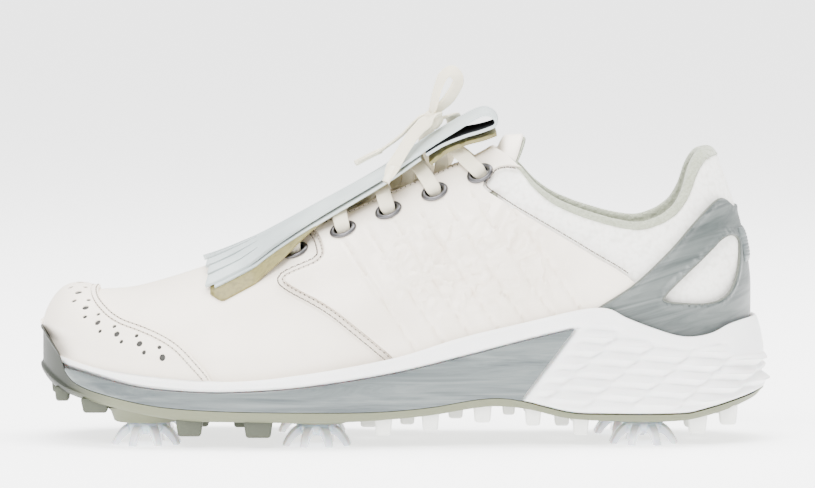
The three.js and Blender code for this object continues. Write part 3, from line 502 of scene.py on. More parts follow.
def cut_sheet(outline, holes, spacing):
    """Triangles over a flat outline with holes, on a regular grid inside."""
    border = evenly(outline, spacing, closed=True)
    loops = [border, *holes]
    low, high = border.min(0), border.max(0)
    rows = np.arange(low[1], high[1], spacing * 0.866)
    grid = np.array([(x + spacing / 2 * (k % 2), y) for k, y in enumerate(rows)
                     for x in np.arange(low[0], high[0], spacing)])
    grid = grid[inside(grid, border)]
    points = np.vstack([*loops, grid[near_to(grid, loops) > 0.55 * spacing]])
    edges = []
    first = 0
    for loop in loops:
        count = len(loop)
        edges.extend((first + k, first + (k + 1) % count) for k in range(count))
        first += count
    found = delaunay_2d_cdt([Vector(p) for p in points.tolist()], edges, [], 0, 1e-7)
    flat = np.array([tuple(p) for p in found[0]])
    triangles = np.array(found[2])
    middle = flat[triangles].mean(1)
    keep = inside(middle, border)
    for hole in holes:
        keep &= ~inside(middle, np.asarray(hole))
    return flat, triangles[keep]


# ---- Charts: flat coordinates of about a millimetre for cutting panels ----
GIRTH = 100.0        # millimetres from the ridge to the sole, so that v = flat height / GIRTH
NOSE = 160.0         # length of the forefoot that the toe chart unrolls
WRAP_FRONT = 30.0    # station where the heel chart starts


def side_chart(flat):
    return flat[:, 0], flat[:, 1] / GIRTH


def side_flat(x, v):
    return np.stack(np.broadcast_arrays(x, np.asarray(v) * GIRTH), -1)


def toe_chart(flat):
    turn = np.clip(flat[:, 0] / NOSE, 0, 1) * math.pi / 2
    return TOE + NOSE * (1 - np.cos(turn)), flat[:, 1] / GIRTH


def toe_flat(x, v):
    turn = np.arccos(np.clip(1 - (np.asarray(x) - TOE) / NOSE, 0, 1)) / (math.pi / 2)
    return np.stack(np.broadcast_arrays(turn * NOSE, np.asarray(v) * GIRTH), -1)


def heel_chart(flat):
    """Round the heel: negative is lateral, positive medial, and height runs up."""
    reach = HEEL - WRAP_FRONT
    turn = np.clip(flat[:, 0] / reach, -1, 1) * math.pi / 2
    return WRAP_FRONT + reach * np.cos(turn), np.where(flat[:, 0] > 0, 1, -1) * -flat[:, 1] / GIRTH


def heel_flat(x, t, side):
    reach = HEEL - WRAP_FRONT
    turn = np.arccos(np.clip((np.asarray(x) - WRAP_FRONT) / reach, 0, 1)) / (math.pi / 2)
    return np.stack(np.broadcast_arrays(side * turn * reach, -np.asarray(t) * GIRTH), -1)


def near_to(points, lines):
    """Distance from each point to the nearest point of some finely divided lines."""
    targets = np.vstack(lines)
    result = np.full(len(points), 1e9)
    for start in range(0, len(targets), 120):
        apart = points[:, None] - targets[None, start:start + 120]
        result = np.minimum(result, (apart ** 2).sum(-1).min(1))
    return np.sqrt(result)


def panel(name, outline, chart, offset, material, holes=(), seams=(), relief=None, spacing=1.3,
          thickness=LEATHER, edge=0.35):
    """A leather panel cut in a chart and laid on the last, drawn down along its seams."""
    flat, triangles = cut_sheet(outline, holes, spacing)
    x, v = chart(flat)
    lift = np.full(len(flat), float(offset))
    if relief is not None:
        lift += relief(x, v)
    if seams:
        gap = near_to(skin(x, v, 0), [skin(*seam.T, 0) for seam in seams])
        lift -= 0.28 * np.exp(-(gap / 0.9) ** 2)
    obj = mesh_object(name, skin(x, v, lift), triangles, material, merge=0.02)
    return thicken(obj, thickness, edge)


# ---- Lines on the last, as rows of (station, v) ----
def spaced(path, step):
    """The line with points a step apart over the last."""
    path = np.asarray(path, float)
    reach = reach_along(last_point(*path.T))
    at = np.linspace(0, reach[-1], max(int(reach[-1] / step), 2) + 1)
    return np.stack([np.interp(at, reach, column) for column in path.T], 1)


def moved(path, shift):
    """Each (station, v) moved over the last by its own small 3-D shift."""
    x, v = path.T
    toe_side = np.maximum(x - 0.5, TOE)
    heel_side = np.minimum(x + 0.5, HEEL)
    along_x = (last_point(heel_side, v) - last_point(toe_side, v)) / (heel_side - toe_side)[:, None]
    along_v = (last_point(x, v + 0.01) - last_point(x, v - 0.01)) / 0.02
    pairs = ((along_x, along_x), (along_x, along_v), (along_v, along_v), (along_x, shift), (along_v, shift))
    xx, xv, vv, to_x, to_v = ((a * b).sum(1) for a, b in pairs)
    spread = np.maximum(xx * vv - xv ** 2, 1e-9)
    return np.stack([x + (to_x * vv - to_v * xv) / spread, v + (xx * to_v - xv * to_x) / spread], 1)


def beside(path, distance):
    """The line moved over the last; to the left of its travel as seen from outside when positive."""
    travel = np.gradient(last_point(*path.T), axis=0)
    sideways = np.cross(skin_normal(*path.T), travel)
    return moved(path, unit(sideways) * distance)


def upright(x, v):
    """Axes on the last at (x, v): forward, across and outward."""
    up = skin_normal(x, v)
    forward = last_point(x + 0.5, v) - last_point(x - 0.5, v)
    forward = unit(forward - up * (forward @ up))
    return forward, np.cross(up, forward), up


def around(x, v, radius, count):
    """A circle on the last about (x, v)."""
    turns = np.arange(count) * math.tau / count
    forward, across, _ = upright(x, v)
    shift = radius * (np.cos(turns)[:, None] * forward + np.sin(turns)[:, None] * across)
    return moved(np.tile((float(x), float(v)), (count, 1)), shift)


STITCH_SHARES = np.array([0.0, 0.12, 0.5, 0.88, 1.0])      # the rings of one stitch, along its length
STITCH_RISE = np.array([-0.35, 0.1, 0.2, 0.1, -0.35])
STITCH_GIRTH = np.array([0.6, 1, 1.1, 1, 0.6])
STITCH_SIDES = 6


def stitches(name, lines, offset, material, length=2.1, gap=0.75, radius=0.3, start=0.0):
    """Rows of thread: each stitch is a small capsule that dives into the leather at both ends."""
    turns = np.arange(STITCH_SIDES) * math.tau / STITCH_SIDES
    size = len(STITCH_SHARES) * STITCH_SIDES
    points, faces = [], []
    for line in lines:
        fine = spaced(line, 0.5)
        reach = reach_along(last_point(*fine.T))
        starts = np.arange(gap + start, reach[-1] - length, length + gap)
        at = starts[:, None] + STITCH_SHARES * length
        x, v = (np.interp(at, reach, column) for column in fine.T)
        centre = skin(x, v, offset + STITCH_RISE)
        up = skin_normal(x, v)
        across = np.cross(unit(centre[:, -1] - centre[:, 0])[:, None], up)
        ring = (np.cos(turns)[:, None] * up[:, :, None] + np.sin(turns)[:, None] * across[:, :, None])
        tube = centre[:, :, None] + ring * radius * STITCH_GIRTH[:, None, None]
        base = sum(len(p) for p in points)
        points.append(tube.reshape(-1, 3))
        for first in range(base, base + len(starts) * size, size):
            for row in range(first, first + size - STITCH_SIDES, STITCH_SIDES):
                for j in range(STITCH_SIDES):
                    a, b = row + j, row + (j + 1) % STITCH_SIDES
                    faces.append((a, b, b + STITCH_SIDES, a + STITCH_SIDES))
    return mesh_object(name, np.vstack(points), faces, material)


NEEDLE_HOLE = 0.5


def sewn(name, lines, offset, thread, needle_shade, length=1.5, gap=0.6, radius=0.22):
    """Stitches with a dark needle hole between each two: each hole is a small dark capsule sunk below the
    thread, painted shade in the hole.
    """
    stand(stitches(name, lines, offset, thread, length, gap, radius))
    holes = stitches(f"{name}_holes", lines, offset - 0.14, needle_shade, NEEDLE_HOLE, length + gap - NEEDLE_HOLE, 0.3,
                     start=gap / 2 + NEEDLE_HOLE / 2)
    stand(holes)


# ---- Upper: seam lines ----
CAP_EDGE = ((-125.2, 63.1), (-125.7, 60.4), (-124, 57.6), (-119.4, 53.6), (-114.1, 50.7), (-105.8, 48.3),
            (-98.3, 45.6), (-91.7, 42.1), (-85.1, 36.5), (-79.1, 30.1), (-77.4, 27), (-77, 21))
QUARTER_FRONT = ((-37.9, 88), (-34, 84.5), (-31.9, 79.5), (-32.2, 76), (-36, 72.8), (-43, 70), (-47, 68),
                 (-47.4, 66.4), (-42, 63.2), (-28.4, 56), (-17.6, 47.9), (-9.3, 41.4), (-4.3, 36.9), (2, 24))
QUARTER_REAR = ((36.5, 118.4), (33.5, 114), (32.5, 105.6), (40, 99.8), (48.2, 94.7), (63.1, 86.3),
                (79, 76.8), (94, 67.6), (91, 65.4), (82.5, 60), (75.6, 56), (73, 50), (72, 34))
RIM = (38, 42, 48, 54, 61, 69, 78, 88, 97, 105, 110, 113, 117, 120.5, 124, 127.5, 130.2)
COLLAR_LOWER = ((38, 108), (42, 97), (50, 88), (62, 80.5), (80, 70), (90, 64), (104, 60))
CAGE_TOP = ((78.8, 55.8), (94.2, 65.6), (108.3, 78.6), (117.4, 89.2), (125, 97.4), (128.5, 99.6),
            (132, 99.4), (135.6, 96.6))
CAGE_FOOT = ((77.6, 53), (90, 48), (100, 43), (112, 40), (124, 40), (134, 42), (140, 44))
WINDOW = ((106.2, 59.2), (106.8, 61.4), (112.4, 67.4), (124.3, 78.8), (130.4, 85.2), (138.2, 85.2),
          (138.2, 76), (136.2, 68.5), (131.5, 60.6), (125, 57.8), (115.6, 58))
# The quarter's rear edge from the rim of the ankle opening down to the corner of the collar panel.
QUARTER_HOOK = ((49, 112.8), (44, 113.6), (38.6, 112.4), (35.4, 108.6), (32.9, 105.4), (34.6, 103))
CORNER = (94, 67.6)


def row_edge(points):
    """A panel edge as a function of t, from (x, z) points listed downwards."""
    placed = [place(x, z) for x, z in points]
    return smooth((STAY, placed[0][0]), *((t, x) for x, t in placed[1:-1]), (1, placed[-1][0]))


cap_edge_x = smooth(*((float(fraction(x, z)), x) for x, z in CAP_EDGE))
quarter_front_x = row_edge(QUARTER_FRONT)
quarter_rear_x = row_edge(QUARTER_REAR)
rim_t = smooth(*(place(x, float(top_line(x))) for x in RIM))
collar_lower_t = smooth(*(place(x, z) for x, z in COLLAR_LOWER))
cage_top_t = smooth(*(place(x, z) for x, z in CAGE_TOP))
cage_foot_t = smooth(*(place(x, z) for x, z in CAGE_FOOT))


def vamp_rear_x(v):
    t = np.abs(v)
    return np.where(t < STAY, THROAT, np.minimum(quarter_front_x(t) + 7, THROAT + (t - STAY) * 900))


def line(x_of, low, high, side=1, count=160):
    """A seam as (station, v) rows, given its station as a function of t."""
    t = np.linspace(low, high, count)
    return np.stack([x_of(t), side * t], 1)


def lengthways(t_of, low, high, side=1, count=160):
    """A seam as (station, v) rows, given its t as a function of the station."""
    x = np.linspace(low, high, count)
    return np.stack([x, side * t_of(x)], 1)


def cap_line(inset):
    """The toe cap's edge from the lateral to the medial side, moved towards the toe."""
    v = np.linspace(-0.97, 0.97, 300)
    return beside(np.stack([cap_edge_x(np.abs(v)), v], 1), inset)


# ---- Upper: toe and vamp ----
HOLE_PITCH = 11.6


def brogue_holes():
    """One row of large holes along the cap's edge, with a pair of small ones between each two."""
    centres = []
    for k in np.arange(-6, 6.5, 0.5):
        from_edge = mix(7.4, 8.2, abs(k) / 6)
        asides, radius = ((0,), 1.3) if k == int(k) else ((2.3, -2.6), 0.9)
        for aside in asides:
            row = spaced(cap_line(from_edge + aside), 0.25)
            at = len(row) // 2 + int(round(k * HOLE_PITCH / 0.25))
            if 0 <= at < len(row):
                centres.append((row[at], radius))
    return [around(x, v, radius, 14) for (x, v), radius in centres if abs(v) < 0.956]


def toe_fullness(x, v):
    """The nose swells forward above the bumper."""
    return 2.5 * (1 - ramp(-139, -125, x)) * ramp(41, 47, last_point(x, v)[..., 2])


def cap_outline(reach, inset, rear_count, nose_count):
    """The toe cap's flat outline, drawn in at its edge and down to v = reach at its sides."""
    v = np.linspace(-reach, reach, rear_count)
    nose = toe_flat(np.full(nose_count, TOE), np.linspace(reach, -reach, nose_count))
    return np.vstack([toe_flat(cap_edge_x(np.abs(v)) - inset, v), nose])


def toe_cap(hide, thread, needle_shade):
    holes = [toe_flat(*ring.T) for ring in brogue_holes()]
    seams = [cap_line(0.8), cap_line(2.9)]
    cap = panel("toe_cap_leather", cap_outline(0.97, 0, 160, 60), toe_chart, 2.0, hide, holes, seams,
                toe_fullness, spacing=1.1, thickness=1.3, edge=0.3)
    stand(cap, cad=["toe_cap"])
    sewn("toe_cap_stitching", [seam[6:-6] for seam in seams], 1.85, thread, needle_shade)


def brogue_shade_sheet(dark):
    """A dark sheet inside the cap's leather, seen only through the punched holes: painted shade in the holes.
    """
    backing = panel("brogue_painted_shade", cap_outline(0.95, 3, 80, 40), toe_chart, 1.5, dark,
                    relief=toe_fullness, spacing=2, thickness=0.3, edge=0)
    stand(backing)


def eyelet_hole(x, side):
    return around(x, side * EYELET_T, 3.9, 20)


def vamp(hide, thread):
    v = np.linspace(-1, 1, 200)
    front = toe_flat(cap_edge_x(np.abs(v)) - 4, v)
    back_v = v[::-1]
    rear = toe_flat(vamp_rear_x(back_v), back_v)
    piece = panel("vamp_leather", np.vstack([front, rear]), toe_chart, 0.0, hide,
                  [toe_flat(*eyelet_hole(EYELET_X[0], side).T) for side in (-1, 1)],
                  spacing=1.6, thickness=1.3)
    stand(piece, cad=["vamp"])
    rows = [line(lambda t: np.full_like(t, THROAT + 3.4), -STAY + 0.01, STAY - 0.01)]
    for side in (-1, 1):
        x = np.linspace(THROAT + 4, -36, 30)
        rows.append(np.stack([x, np.full(30, side * (STAY + 0.03))], 1))
    stand(stitches("eyestay_stitching_front", rows, 0.0, thread))


# ---- Upper: quarters ----
CREASE_PITCH = 10.8
CREASE_ACROSS = np.array((0.826, 0.563))
FACETS = 520


def embossed(x, v):
    """Evenly spaced slanting creases, with hammered facets between them in the middle of the quarter."""
    points = last_point(x, v)
    across = points[:, [0, 2]] @ CREASE_ACROSS
    along = points[:, [0, 2]] @ np.array((-CREASE_ACROSS[1], CREASE_ACROSS[0]))
    t = np.abs(v)
    phase = np.mod(across, CREASE_PITCH) - CREASE_PITCH / 2
    zone = ramp(18, 26, across) * (1 - ramp(92, 101, across))
    zone *= ramp(0.34, 0.42, t) * (1 - ramp(0.88, 0.95, t))
    crease = -1.2 * np.exp(-(phase / 0.8) ** 2)
    roll = 0.85 * np.where(phase > 0, (1 - phase / CREASE_PITCH * 2) ** 2, 0)
    rng = np.random.default_rng(11)
    seeds = rng.uniform((15, -45), (110, 90), (FACETS, 2))
    tilts = rng.uniform(-0.45, 0.45, (FACETS, 2))
    lifts = rng.uniform(-0.12, 0.3, FACETS)
    spots = np.stack([across, along], 1)
    facet = np.zeros(len(spots))
    for start in range(0, len(spots), 4000):
        apart = spots[start:start + 4000, None] - seeds
        apart[..., 1] *= 1.5
        own = (apart ** 2).sum(-1).argmin(1)
        lean = (apart[np.arange(len(own)), own] * tilts[own]).sum(1)
        facet[start:start + 4000] = np.clip(lean, -0.8, 0.8) + lifts[own]
    middle = ramp(30, 44, across) * (1 - ramp(86, 100, across))
    middle *= ramp(0.42, 0.52, t) * (1 - ramp(0.76, 0.86, t))
    return zone * (crease + roll) + middle * facet


def quarter_rear(side):
    """The quarter's rear edge as (station, v) rows, from the rim down to the sole."""
    hook = [place(x, z) for x, z in QUARTER_HOOK]
    lower = line(quarter_rear_x, 0, 1)
    corner_t = place(*CORNER)[1]
    upper_part = lower[(lower[:, 1] > hook[-1][1] + 0.03) & (lower[:, 1] < corner_t)]
    under_cage = [place(x, z) for x, z in ((96, 65), (90, 57), (84, 50), (80, 44), (78, 36))]
    edge = rounded(np.vstack([hook, upper_part[::6], [place(*CORNER)], under_cage]), 1, closed=False)
    edge[-1, 1] = 1
    return edge * (1, side)


def quarter(side, hide, thread, dark_thread, needle_shade):
    name = "lateral" if side < 0 else "medial"
    front = line(quarter_front_x, STAY, 1, side, 150)
    rear = quarter_rear(side)
    rim_x = np.linspace(rear[0, 0], 36, 12)[1:]
    rim = np.stack([rim_x, side * rim_t(rim_x)], 1)
    outline = side_flat(*np.vstack([front, rear[::-1], rim]).T)
    holes = [side_flat(*eyelet_hole(x, side).T) for x in EYELET_X[1:]]
    stay_x = np.linspace(-35, 30, 120)
    stay = np.stack([stay_x, np.full(120, side * (STAY + 0.022))], 1)
    outer_row, inner_row = (beside(line(quarter_front_x, STAY + 0.02, 0.97, side), gap * side)
                            for gap in (0.9, 2.9))
    seen = rear[2:][rear[2:, 1] * side < place(*CORNER)[1] - 0.006]
    rear_row = beside(seen, -1.3 * side)
    piece = panel(f"quarter_leather_{name}", outline, side_chart, 1.9, hide, holes,
                  [outer_row, inner_row, rear_row, stay], embossed, spacing=1.0, thickness=1.3)
    stand(piece, cad=[f"quarter_{name}"])
    sewn(f"quarter_edge_stitching_{name}", [outer_row, stay], 1.8, thread, needle_shade)
    sewn(f"quarter_dark_stitching_{name}", [inner_row, rear_row], 1.9, dark_thread, needle_shade, 1.7, 0.9, 0.28)


# ---- Upper: collar and heel ----
def collar_leather(hide):
    """Pebbled leather round the ankle opening, one layer from the lacing round the heel."""
    x = WRAP_FRONT + 0.5 + (HEEL - WRAP_FRONT - 0.5) * np.sin(np.linspace(0, math.pi / 2, 130))
    foot_t = np.where(x < 92, collar_lower_t(x) + 0.04, mix(collar_lower_t(x) + 0.04, 0.9, ramp(92, 100, x)))
    outline = np.vstack([heel_flat(x, rim_t(x), -1), heel_flat(x[::-1], rim_t(x[::-1]), 1),
                         heel_flat(x, foot_t, 1), heel_flat(x[::-1], foot_t[::-1], -1)])
    piece = panel("collar_leather_wrap", outline, heel_chart, 0.0, hide, spacing=1.7, thickness=1.3, edge=0)
    stand(piece, cad=["collar_panel_lateral", "collar_panel_medial", "heel_tab"])


def cage_rim(x, v, border):
    """A thin raised bead along the cage's edges."""
    gap = near_to(skin(x, v, 0), border)
    at_back = ramp(HEEL - 12, HEEL - 1, x)
    bead = 0.7 * (1 - at_back) * np.exp(-((gap - 1.0) / 0.75) ** 2)
    return bead - 0.45 * ramp(1.8, 2.6, gap) - 1.6 * at_back


def heel_cage(plastic, dark_plastic):
    x = 78.8 + (HEEL - 78.8) * np.sin(np.linspace(0, math.pi / 2, 90))
    top = [heel_flat(x, cage_top_t(x), -1), heel_flat(x[::-1], cage_top_t(x[::-1]), 1)]
    foot = [heel_flat(x, cage_foot_t(x), 1), heel_flat(x[::-1], cage_foot_t(x[::-1]), -1)]
    rings = {side: rounded([place(*spot) for spot in WINDOW], side) for side in (-1, 1)}
    windows = [heel_flat(ring[:, 0], np.abs(ring[:, 1]), side) for side, ring in rings.items()]
    border = [skin(*lengthways(edge, 79, HEEL, side).T, 0) for edge in (cage_top_t, cage_foot_t)
              for side in (-1, 1)]
    border += [skin(*ring.T, 0) for ring in rings.values()]
    piece = panel("heel_cage_moulding", np.vstack(top + foot), heel_chart, 2.6, plastic, windows,
                  relief=lambda x, v: cage_rim(x, v, border), spacing=0.8, thickness=1.7, edge=0.35)
    stand(piece, cad=["heel_cage"])
    for side, name in ((-1, "lateral"), (1, "medial")):
        edges = {"window": np.vstack([rings[side], rings[side][:1]]),
                 "edge": lengthways(cage_top_t, 79, HEEL - 1.5, side, 90)}
        for edge, row in edges.items():
            lift = 2.5 - 2.4 * ramp(HEEL - 12, HEEL - 1, row[:, 0])
            bead, _ = tape(f"heel_cage_{edge}_{name}", skin(*row.T, lift), skin_normal(*row.T), dark_plastic,
                           1.1, 0.8)
            stand(bead)


def rounded(ring, side, closed=True):
    """A (station, t) outline with its corners cut smooth, as (station, v) rows."""
    points = np.array([(x, side * t) for x, t in ring])
    for _ in range(2):
        start, end = (points, np.roll(points, -1, axis=0)) if closed else (points[:-1], points[1:])
        cut = np.stack([start * 0.75 + end * 0.25, start * 0.25 + end * 0.75], 1).reshape(-1, 2)
        points = cut if closed else np.vstack([points[:1], cut, points[-1:]])
    return points


def grid_object(name, at, across, rows, material, closed=False):
    """A sheet over u (across) and w (rows), both 0 to 1; at returns points in millimetres."""
    u, w = np.meshgrid(np.linspace(0, 1, across + 1), np.linspace(0, 1, rows + 1))
    points = at(u, w)
    row = across + 1
    faces = [(j * row + i, j * row + i + 1, (j + 1) * row + i + 1, (j + 1) * row + i)
             for j in range(rows) for i in range(across)]
    return mesh_object(name, points.reshape(-1, 3), faces, material, merge=0.01 if closed else 0)


def heel_turn(u, front):
    """Station and side on the way round the heel, u from 0 (lateral) to 1 (medial)."""
    turn = 2 * u - 1
    return front + (HEEL - front) * np.cos(turn * math.pi / 2), np.where(turn > 0, 1, -1)


def heel_pad(plastic):
    """A plain ribbed pad in the middle of the cage's back."""
    def at(u, w):
        x, side = heel_turn(u, HEEL - 2.2)
        low, high = (np.array([place(float(s), z)[1] for s in x[0]]) for z in (74, 88))
        ribs = 0.25 * np.sin(w * 5 * math.tau) ** 2
        puff = 0.8 * (1 - (2 * w - 1) ** 4) * (1 - (2 * u - 1) ** 4)
        return skin(x, side * mix(low, high, w), 0.9 + puff + ribs * puff)
    piece = grid_object("heel_pad_moulding", at, 24, 40, plastic)
    stand(thicken(piece, 0.5, 0), cad=["heel_pad"])


# ---- Collar padding, lining, tongue ----
FOAM_FOOT = 70.0


def foam_depth(x, t):
    low = fraction(x, FOAM_FOOT)
    share = np.clip((t - rim_t(x)) / (low - rim_t(x)), 0.04, 0.96)
    return 5 * np.sin(math.pi * share) ** 0.6 * ramp(56, 68, x)


def collar_roll(cloth):
    """Padded lining that rolls over the rim of the ankle opening and down inside."""
    over_share = 0.45

    def at(u, w):
        x, side = heel_turn(u, 36.0)
        rim = rim_t(x)
        radius = 0.7 + 1.3 * ramp(40, 62, x) + 1.2 * ramp(98, 128, x)
        phase = np.clip(w / over_share, 0, 1) * math.pi
        down = np.clip((w - over_share) / (1 - over_share), 0, 1)
        below, above = (last_point(x, side * (rim + step)) for step in (0.01, -0.01))
        reach = np.linalg.norm(below - above, axis=-1)
        up = radius * np.sin(phase) * 1.15 - 1.2 * (1 - ramp(0, 0.2, w))
        low = fraction(x, np.minimum(FOAM_FOOT + 4, top_line(x) - 12))
        t = np.where(w < over_share, rim - up * 0.02 / reach, mix(rim, low, down))
        foam = foam_depth(x, t) * ramp(0, 0.3, down) * (1 - ramp(0.9, 1, down))
        return skin(x, side * t, 0.4 - radius * (1 - np.cos(phase)) - 0.6 * ramp(0, 0.2, down) - foam)
    piece = grid_object("collar_padding", at, 220, 48, cloth)
    stand(thicken(piece, 0.5, 0), cad=["collar_foam"])


def quarter_lining(cloth):
    def at(u, w):
        x, side = heel_turn(u, THROAT + 1)
        top = np.where(x < 38, STAY + 0.02, np.maximum(rim_t(x), STAY + 0.02) + 0.03)
        t = mix(0.96, top, w)
        padding = np.where(t < fraction(x, FOAM_FOOT), foam_depth(x, t), 0)
        return skin(x, side * t, -2.6 - np.maximum(padding + 1, 1.6 * ramp(50, 60, x)))
    piece = grid_object("inner_lining", at, 160, 30, cloth)
    stand(thicken(piece, 0.9, 0), cad=["quarter_lining"])


def tongue(hide, cloth):
    """The tongue: leather outside, padded cloth inside, with a rounded top that stands up a little."""
    top = 47.2

    def spread(x):
        return 0.36 * np.sqrt(np.clip(1 - np.clip((x - 39) / (top - 39), 0, 1) ** 4, 0, 1))

    def stand_up(x):
        return 4.6 * ramp(33, 42, x) - 3.2 * ramp(41, 48, x)

    def outer(u, w):
        x = mix(THROAT + 1.2, top, 1 - (1 - u) ** 1.6)
        edge = 1 - np.abs(2 * w - 1) ** 6
        return skin(x, spread(x) * (2 * w - 1), -6.9 + 1.3 * edge + stand_up(x))

    def inner(u, w):
        x = mix(THROAT + 1.4, top - 0.3, 1 - (1 - u) ** 1.6)
        puff = np.sqrt(np.clip(1 - (2 * w - 1) ** 4, 0, 1) * np.clip(1 - u ** 8, 0, 1))
        return skin(x, spread(x) * 0.985 * (2 * w - 1), -7.4 - 3.4 * puff + stand_up(x))
    cover = grid_object("tongue_leather", outer, 70, 40, hide)
    stand(thicken(cover, 1.0, 0.3), cad=["tongue"])
    pad = grid_object("tongue_padding_cloth", inner, 70, 40, cloth)
    stand(thicken(pad, 0.6, 0.2), cad=["tongue_padding"])


# ---- Sole ----
def sole_ring(level, count):
    """A closed ring round the sole: along the lateral side to the heel, and back on the medial side."""
    toe, heel, grow, height = level
    x = toe + (heel - toe) * (1 - np.cos(np.linspace(0, math.pi, count + 1))) / 2
    z = height(x)
    lateral = np.stack([x, outline_y(x, -1, toe, heel, grow) + SIDE_SHIFT, z], 1)
    medial = np.stack([x, outline_y(x, 1, toe, heel, grow) + SIDE_SHIFT, z], 1)
    return np.vstack([lateral, medial[-2:0:-1]])


def sole_body(name, levels, material, relief=None, count=150):
    """A closed body through levels of (toe, heel, grow, height), bottom to top."""
    rings = [sole_ring(level, count) for level in levels]
    if relief is not None:
        rings = [relief(ring, ring_normals(ring)) for ring in rings]
    around_it = 2 * count
    faces = []
    for k in range(len(rings) - 1):
        for i in range(around_it):
            j = (i + 1) % around_it
            a, b = k * around_it, (k + 1) * around_it
            faces.append((a + i, a + j, b + j, b + i))
    top = (len(rings) - 1) * around_it
    for i in range(count):
        near, far = (around_it - i) % around_it, around_it - i - 1
        faces.append((near, far, i + 1, i) if i else (0, far, 1))
        faces.append((top + i, top + i + 1, top + far, top + near) if i else (top, top + 1, top + far))
    faces = [face for face in faces if len(set(face)) > 2]
    return mesh_object(name, np.vstack(rings), faces, material, merge=0.01)


def ring_normals(ring):
    """Outward directions in plan."""
    travel = np.roll(ring, -1, axis=0) - np.roll(ring, 1, axis=0)
    normal = np.stack([travel[:, 1], -travel[:, 0], np.zeros(len(ring))], 1)
    return unit(normal)


def raised(height, by):
    return lambda x: height(x) + by


def between(low, high, share):
    return lambda x: mix(low(x), high(x), share)


def plate_top(x):
    return np.minimum(outsole_top(x), sole_bottom(x) + 5.2)


def midsole_foot(x):
    return np.maximum(outsole_top(x) * ramp(-140, -125, x) - 0.5, plate_top(x) + 1)


def band_edge_x(z):
    return 48.2 + (z - 18.8) * 0.76


def heel_waves(x, z):
    """Rows of lens-shaped facets on the heel, sloping down to the back and broken by rising slants."""
    share = (z - outsole_top(x)) / np.maximum(sole_top(x) - outsole_top(x), 1)
    slant = (x - 1.1 * z) / 19
    row = (z + 0.07 * (x - 60)) / 5.8 + 0.5 * np.mod(np.floor(slant), 2)
    lens = 1 - np.abs(2 * np.mod(row, 1) - 1)
    ends = np.clip(5 * np.minimum(np.mod(slant, 1), 1 - np.mod(slant, 1)), 0, 1)
    zone = ramp(-1, 4, x - band_edge_x(z) - 4) * ramp(0.04, 0.12, share) * (1 - ramp(0.8, 0.88, share))
    plain_block = ramp(35, 37.5, z) * ramp(126, 136, x)
    return zone * (1 - plain_block) * (4.2 * lens * mix(0.3, 1, ends) - 1.8)


def midsole(foam):
    """White foam: a wall with a rolled rim, a groove under the rim and waves at the heel."""
    wall_rows = 60
    levels = [(SOLE_TOE + 3.2, SOLE_HEEL - 2, SIDE_GROW - 1, raised(plate_top, 0.3))]
    for k in range(wall_rows + 1):
        s = k / wall_rows
        heel = SOLE_HEEL - 3.4 * s ** 3
        grow = SIDE_GROW + 0.4 - 0.5 * ramp(0.9, 1, s)
        levels.append((SOLE_TOE + 3.2, heel, grow, between(midsole_foot, raised(sole_top, -0.7), s)))
    levels.append((SOLE_TOE + 3.5, SOLE_HEEL - 3.8, SIDE_GROW - 0.8, raised(sole_top, -0.15)))
    levels.append((SOLE_TOE + 3.9, SOLE_HEEL - 4.4, SIDE_GROW - 1.6, sole_top))
    levels.append((TOE - 0.4, HEEL + 1.4, 1.6, raised(sole_top, -0.5)))
    levels.append((TOE + 1.2, HEEL, 0.6, raised(bed_height, 6)))
    levels.append((TOE + 1.2, HEEL, 0.2, raised(bed_height, -0.3)))

    def relief(ring, normals):
        x, z = ring[:, 0], ring[:, 2]
        on_wall = (z > midsole_foot(x) - 0.1) & (np.abs(z - sole_top(x)) > 0.8)
        edge = band_top(x)
        ahead = 1 - ramp(0, 2.2, x - band_edge_x(np.minimum(z, edge)))
        recess = ahead * (1 - ramp(-0.5, 0.5, z - edge)) * 2.7 * ramp(-141, -137.5, x)
        groove = 0.7 * np.exp(-((z - edge - 0.6) / 0.5) ** 2) * (1 - ramp(66, 76, x))
        bead = 0.45 * ramp(0.4, 1.4, z - edge) * (1 - ramp(70, 84, x))
        out = on_wall * (heel_waves(x, z) + bead - groove - recess)
        return ring + normals * out[:, None]
    body = sole_body("midsole_foam", levels, foam, relief, count=330)
    stand(body, cad=["midsole"])


def side_band(side, plastic):
    """The grey band let into the midsole's side, cut off at a slant towards the heel."""
    name = "lateral" if side < 0 else "medial"

    def at(u, w):
        def height(x):
            return mix(outsole_top(x) + 0.3, band_top(x) - 0.3, w)
        end = np.full_like(w, 60.0)
        for _ in range(12):
            end = band_edge_x(height(end)) - 0.4
        x = mix(-138.3, end, u)
        swell = 0.4 + 0.35 * np.sin(w * math.pi) ** 0.6
        y = outline_y(x, side, SOLE_TOE, SOLE_HEEL, SIDE_GROW + swell) + SIDE_SHIFT
        return np.stack([x, y, height(x)], -1)
    piece = grid_object(f"side_band_moulding_{name}", at, 190, 14, plastic)
    stand(thicken(piece, 2.0, 0.45, inward=side < 0), cad=[f"side_band_{name}"])


EDGE_LUGS = ((-139.7, 6.6), (-125.6, 12), (-86.7, 11.6), (-58.6, 12.4), (-7.7, 7.5), (11.4, 7.5), (32.7, 7.9),
             (53.4, 7), (72.9, 7), (120.7, 8.3), (133.5, 8))
MIDDLE_LUGS = ((-84, 9), (-66, 9), (-14, 8), (2, 7), (22, 7), (44, 6), (66, 7), (120, 8))
LUG_DEPTH, TOE_LUG_DEPTH = 6.4, 4.2


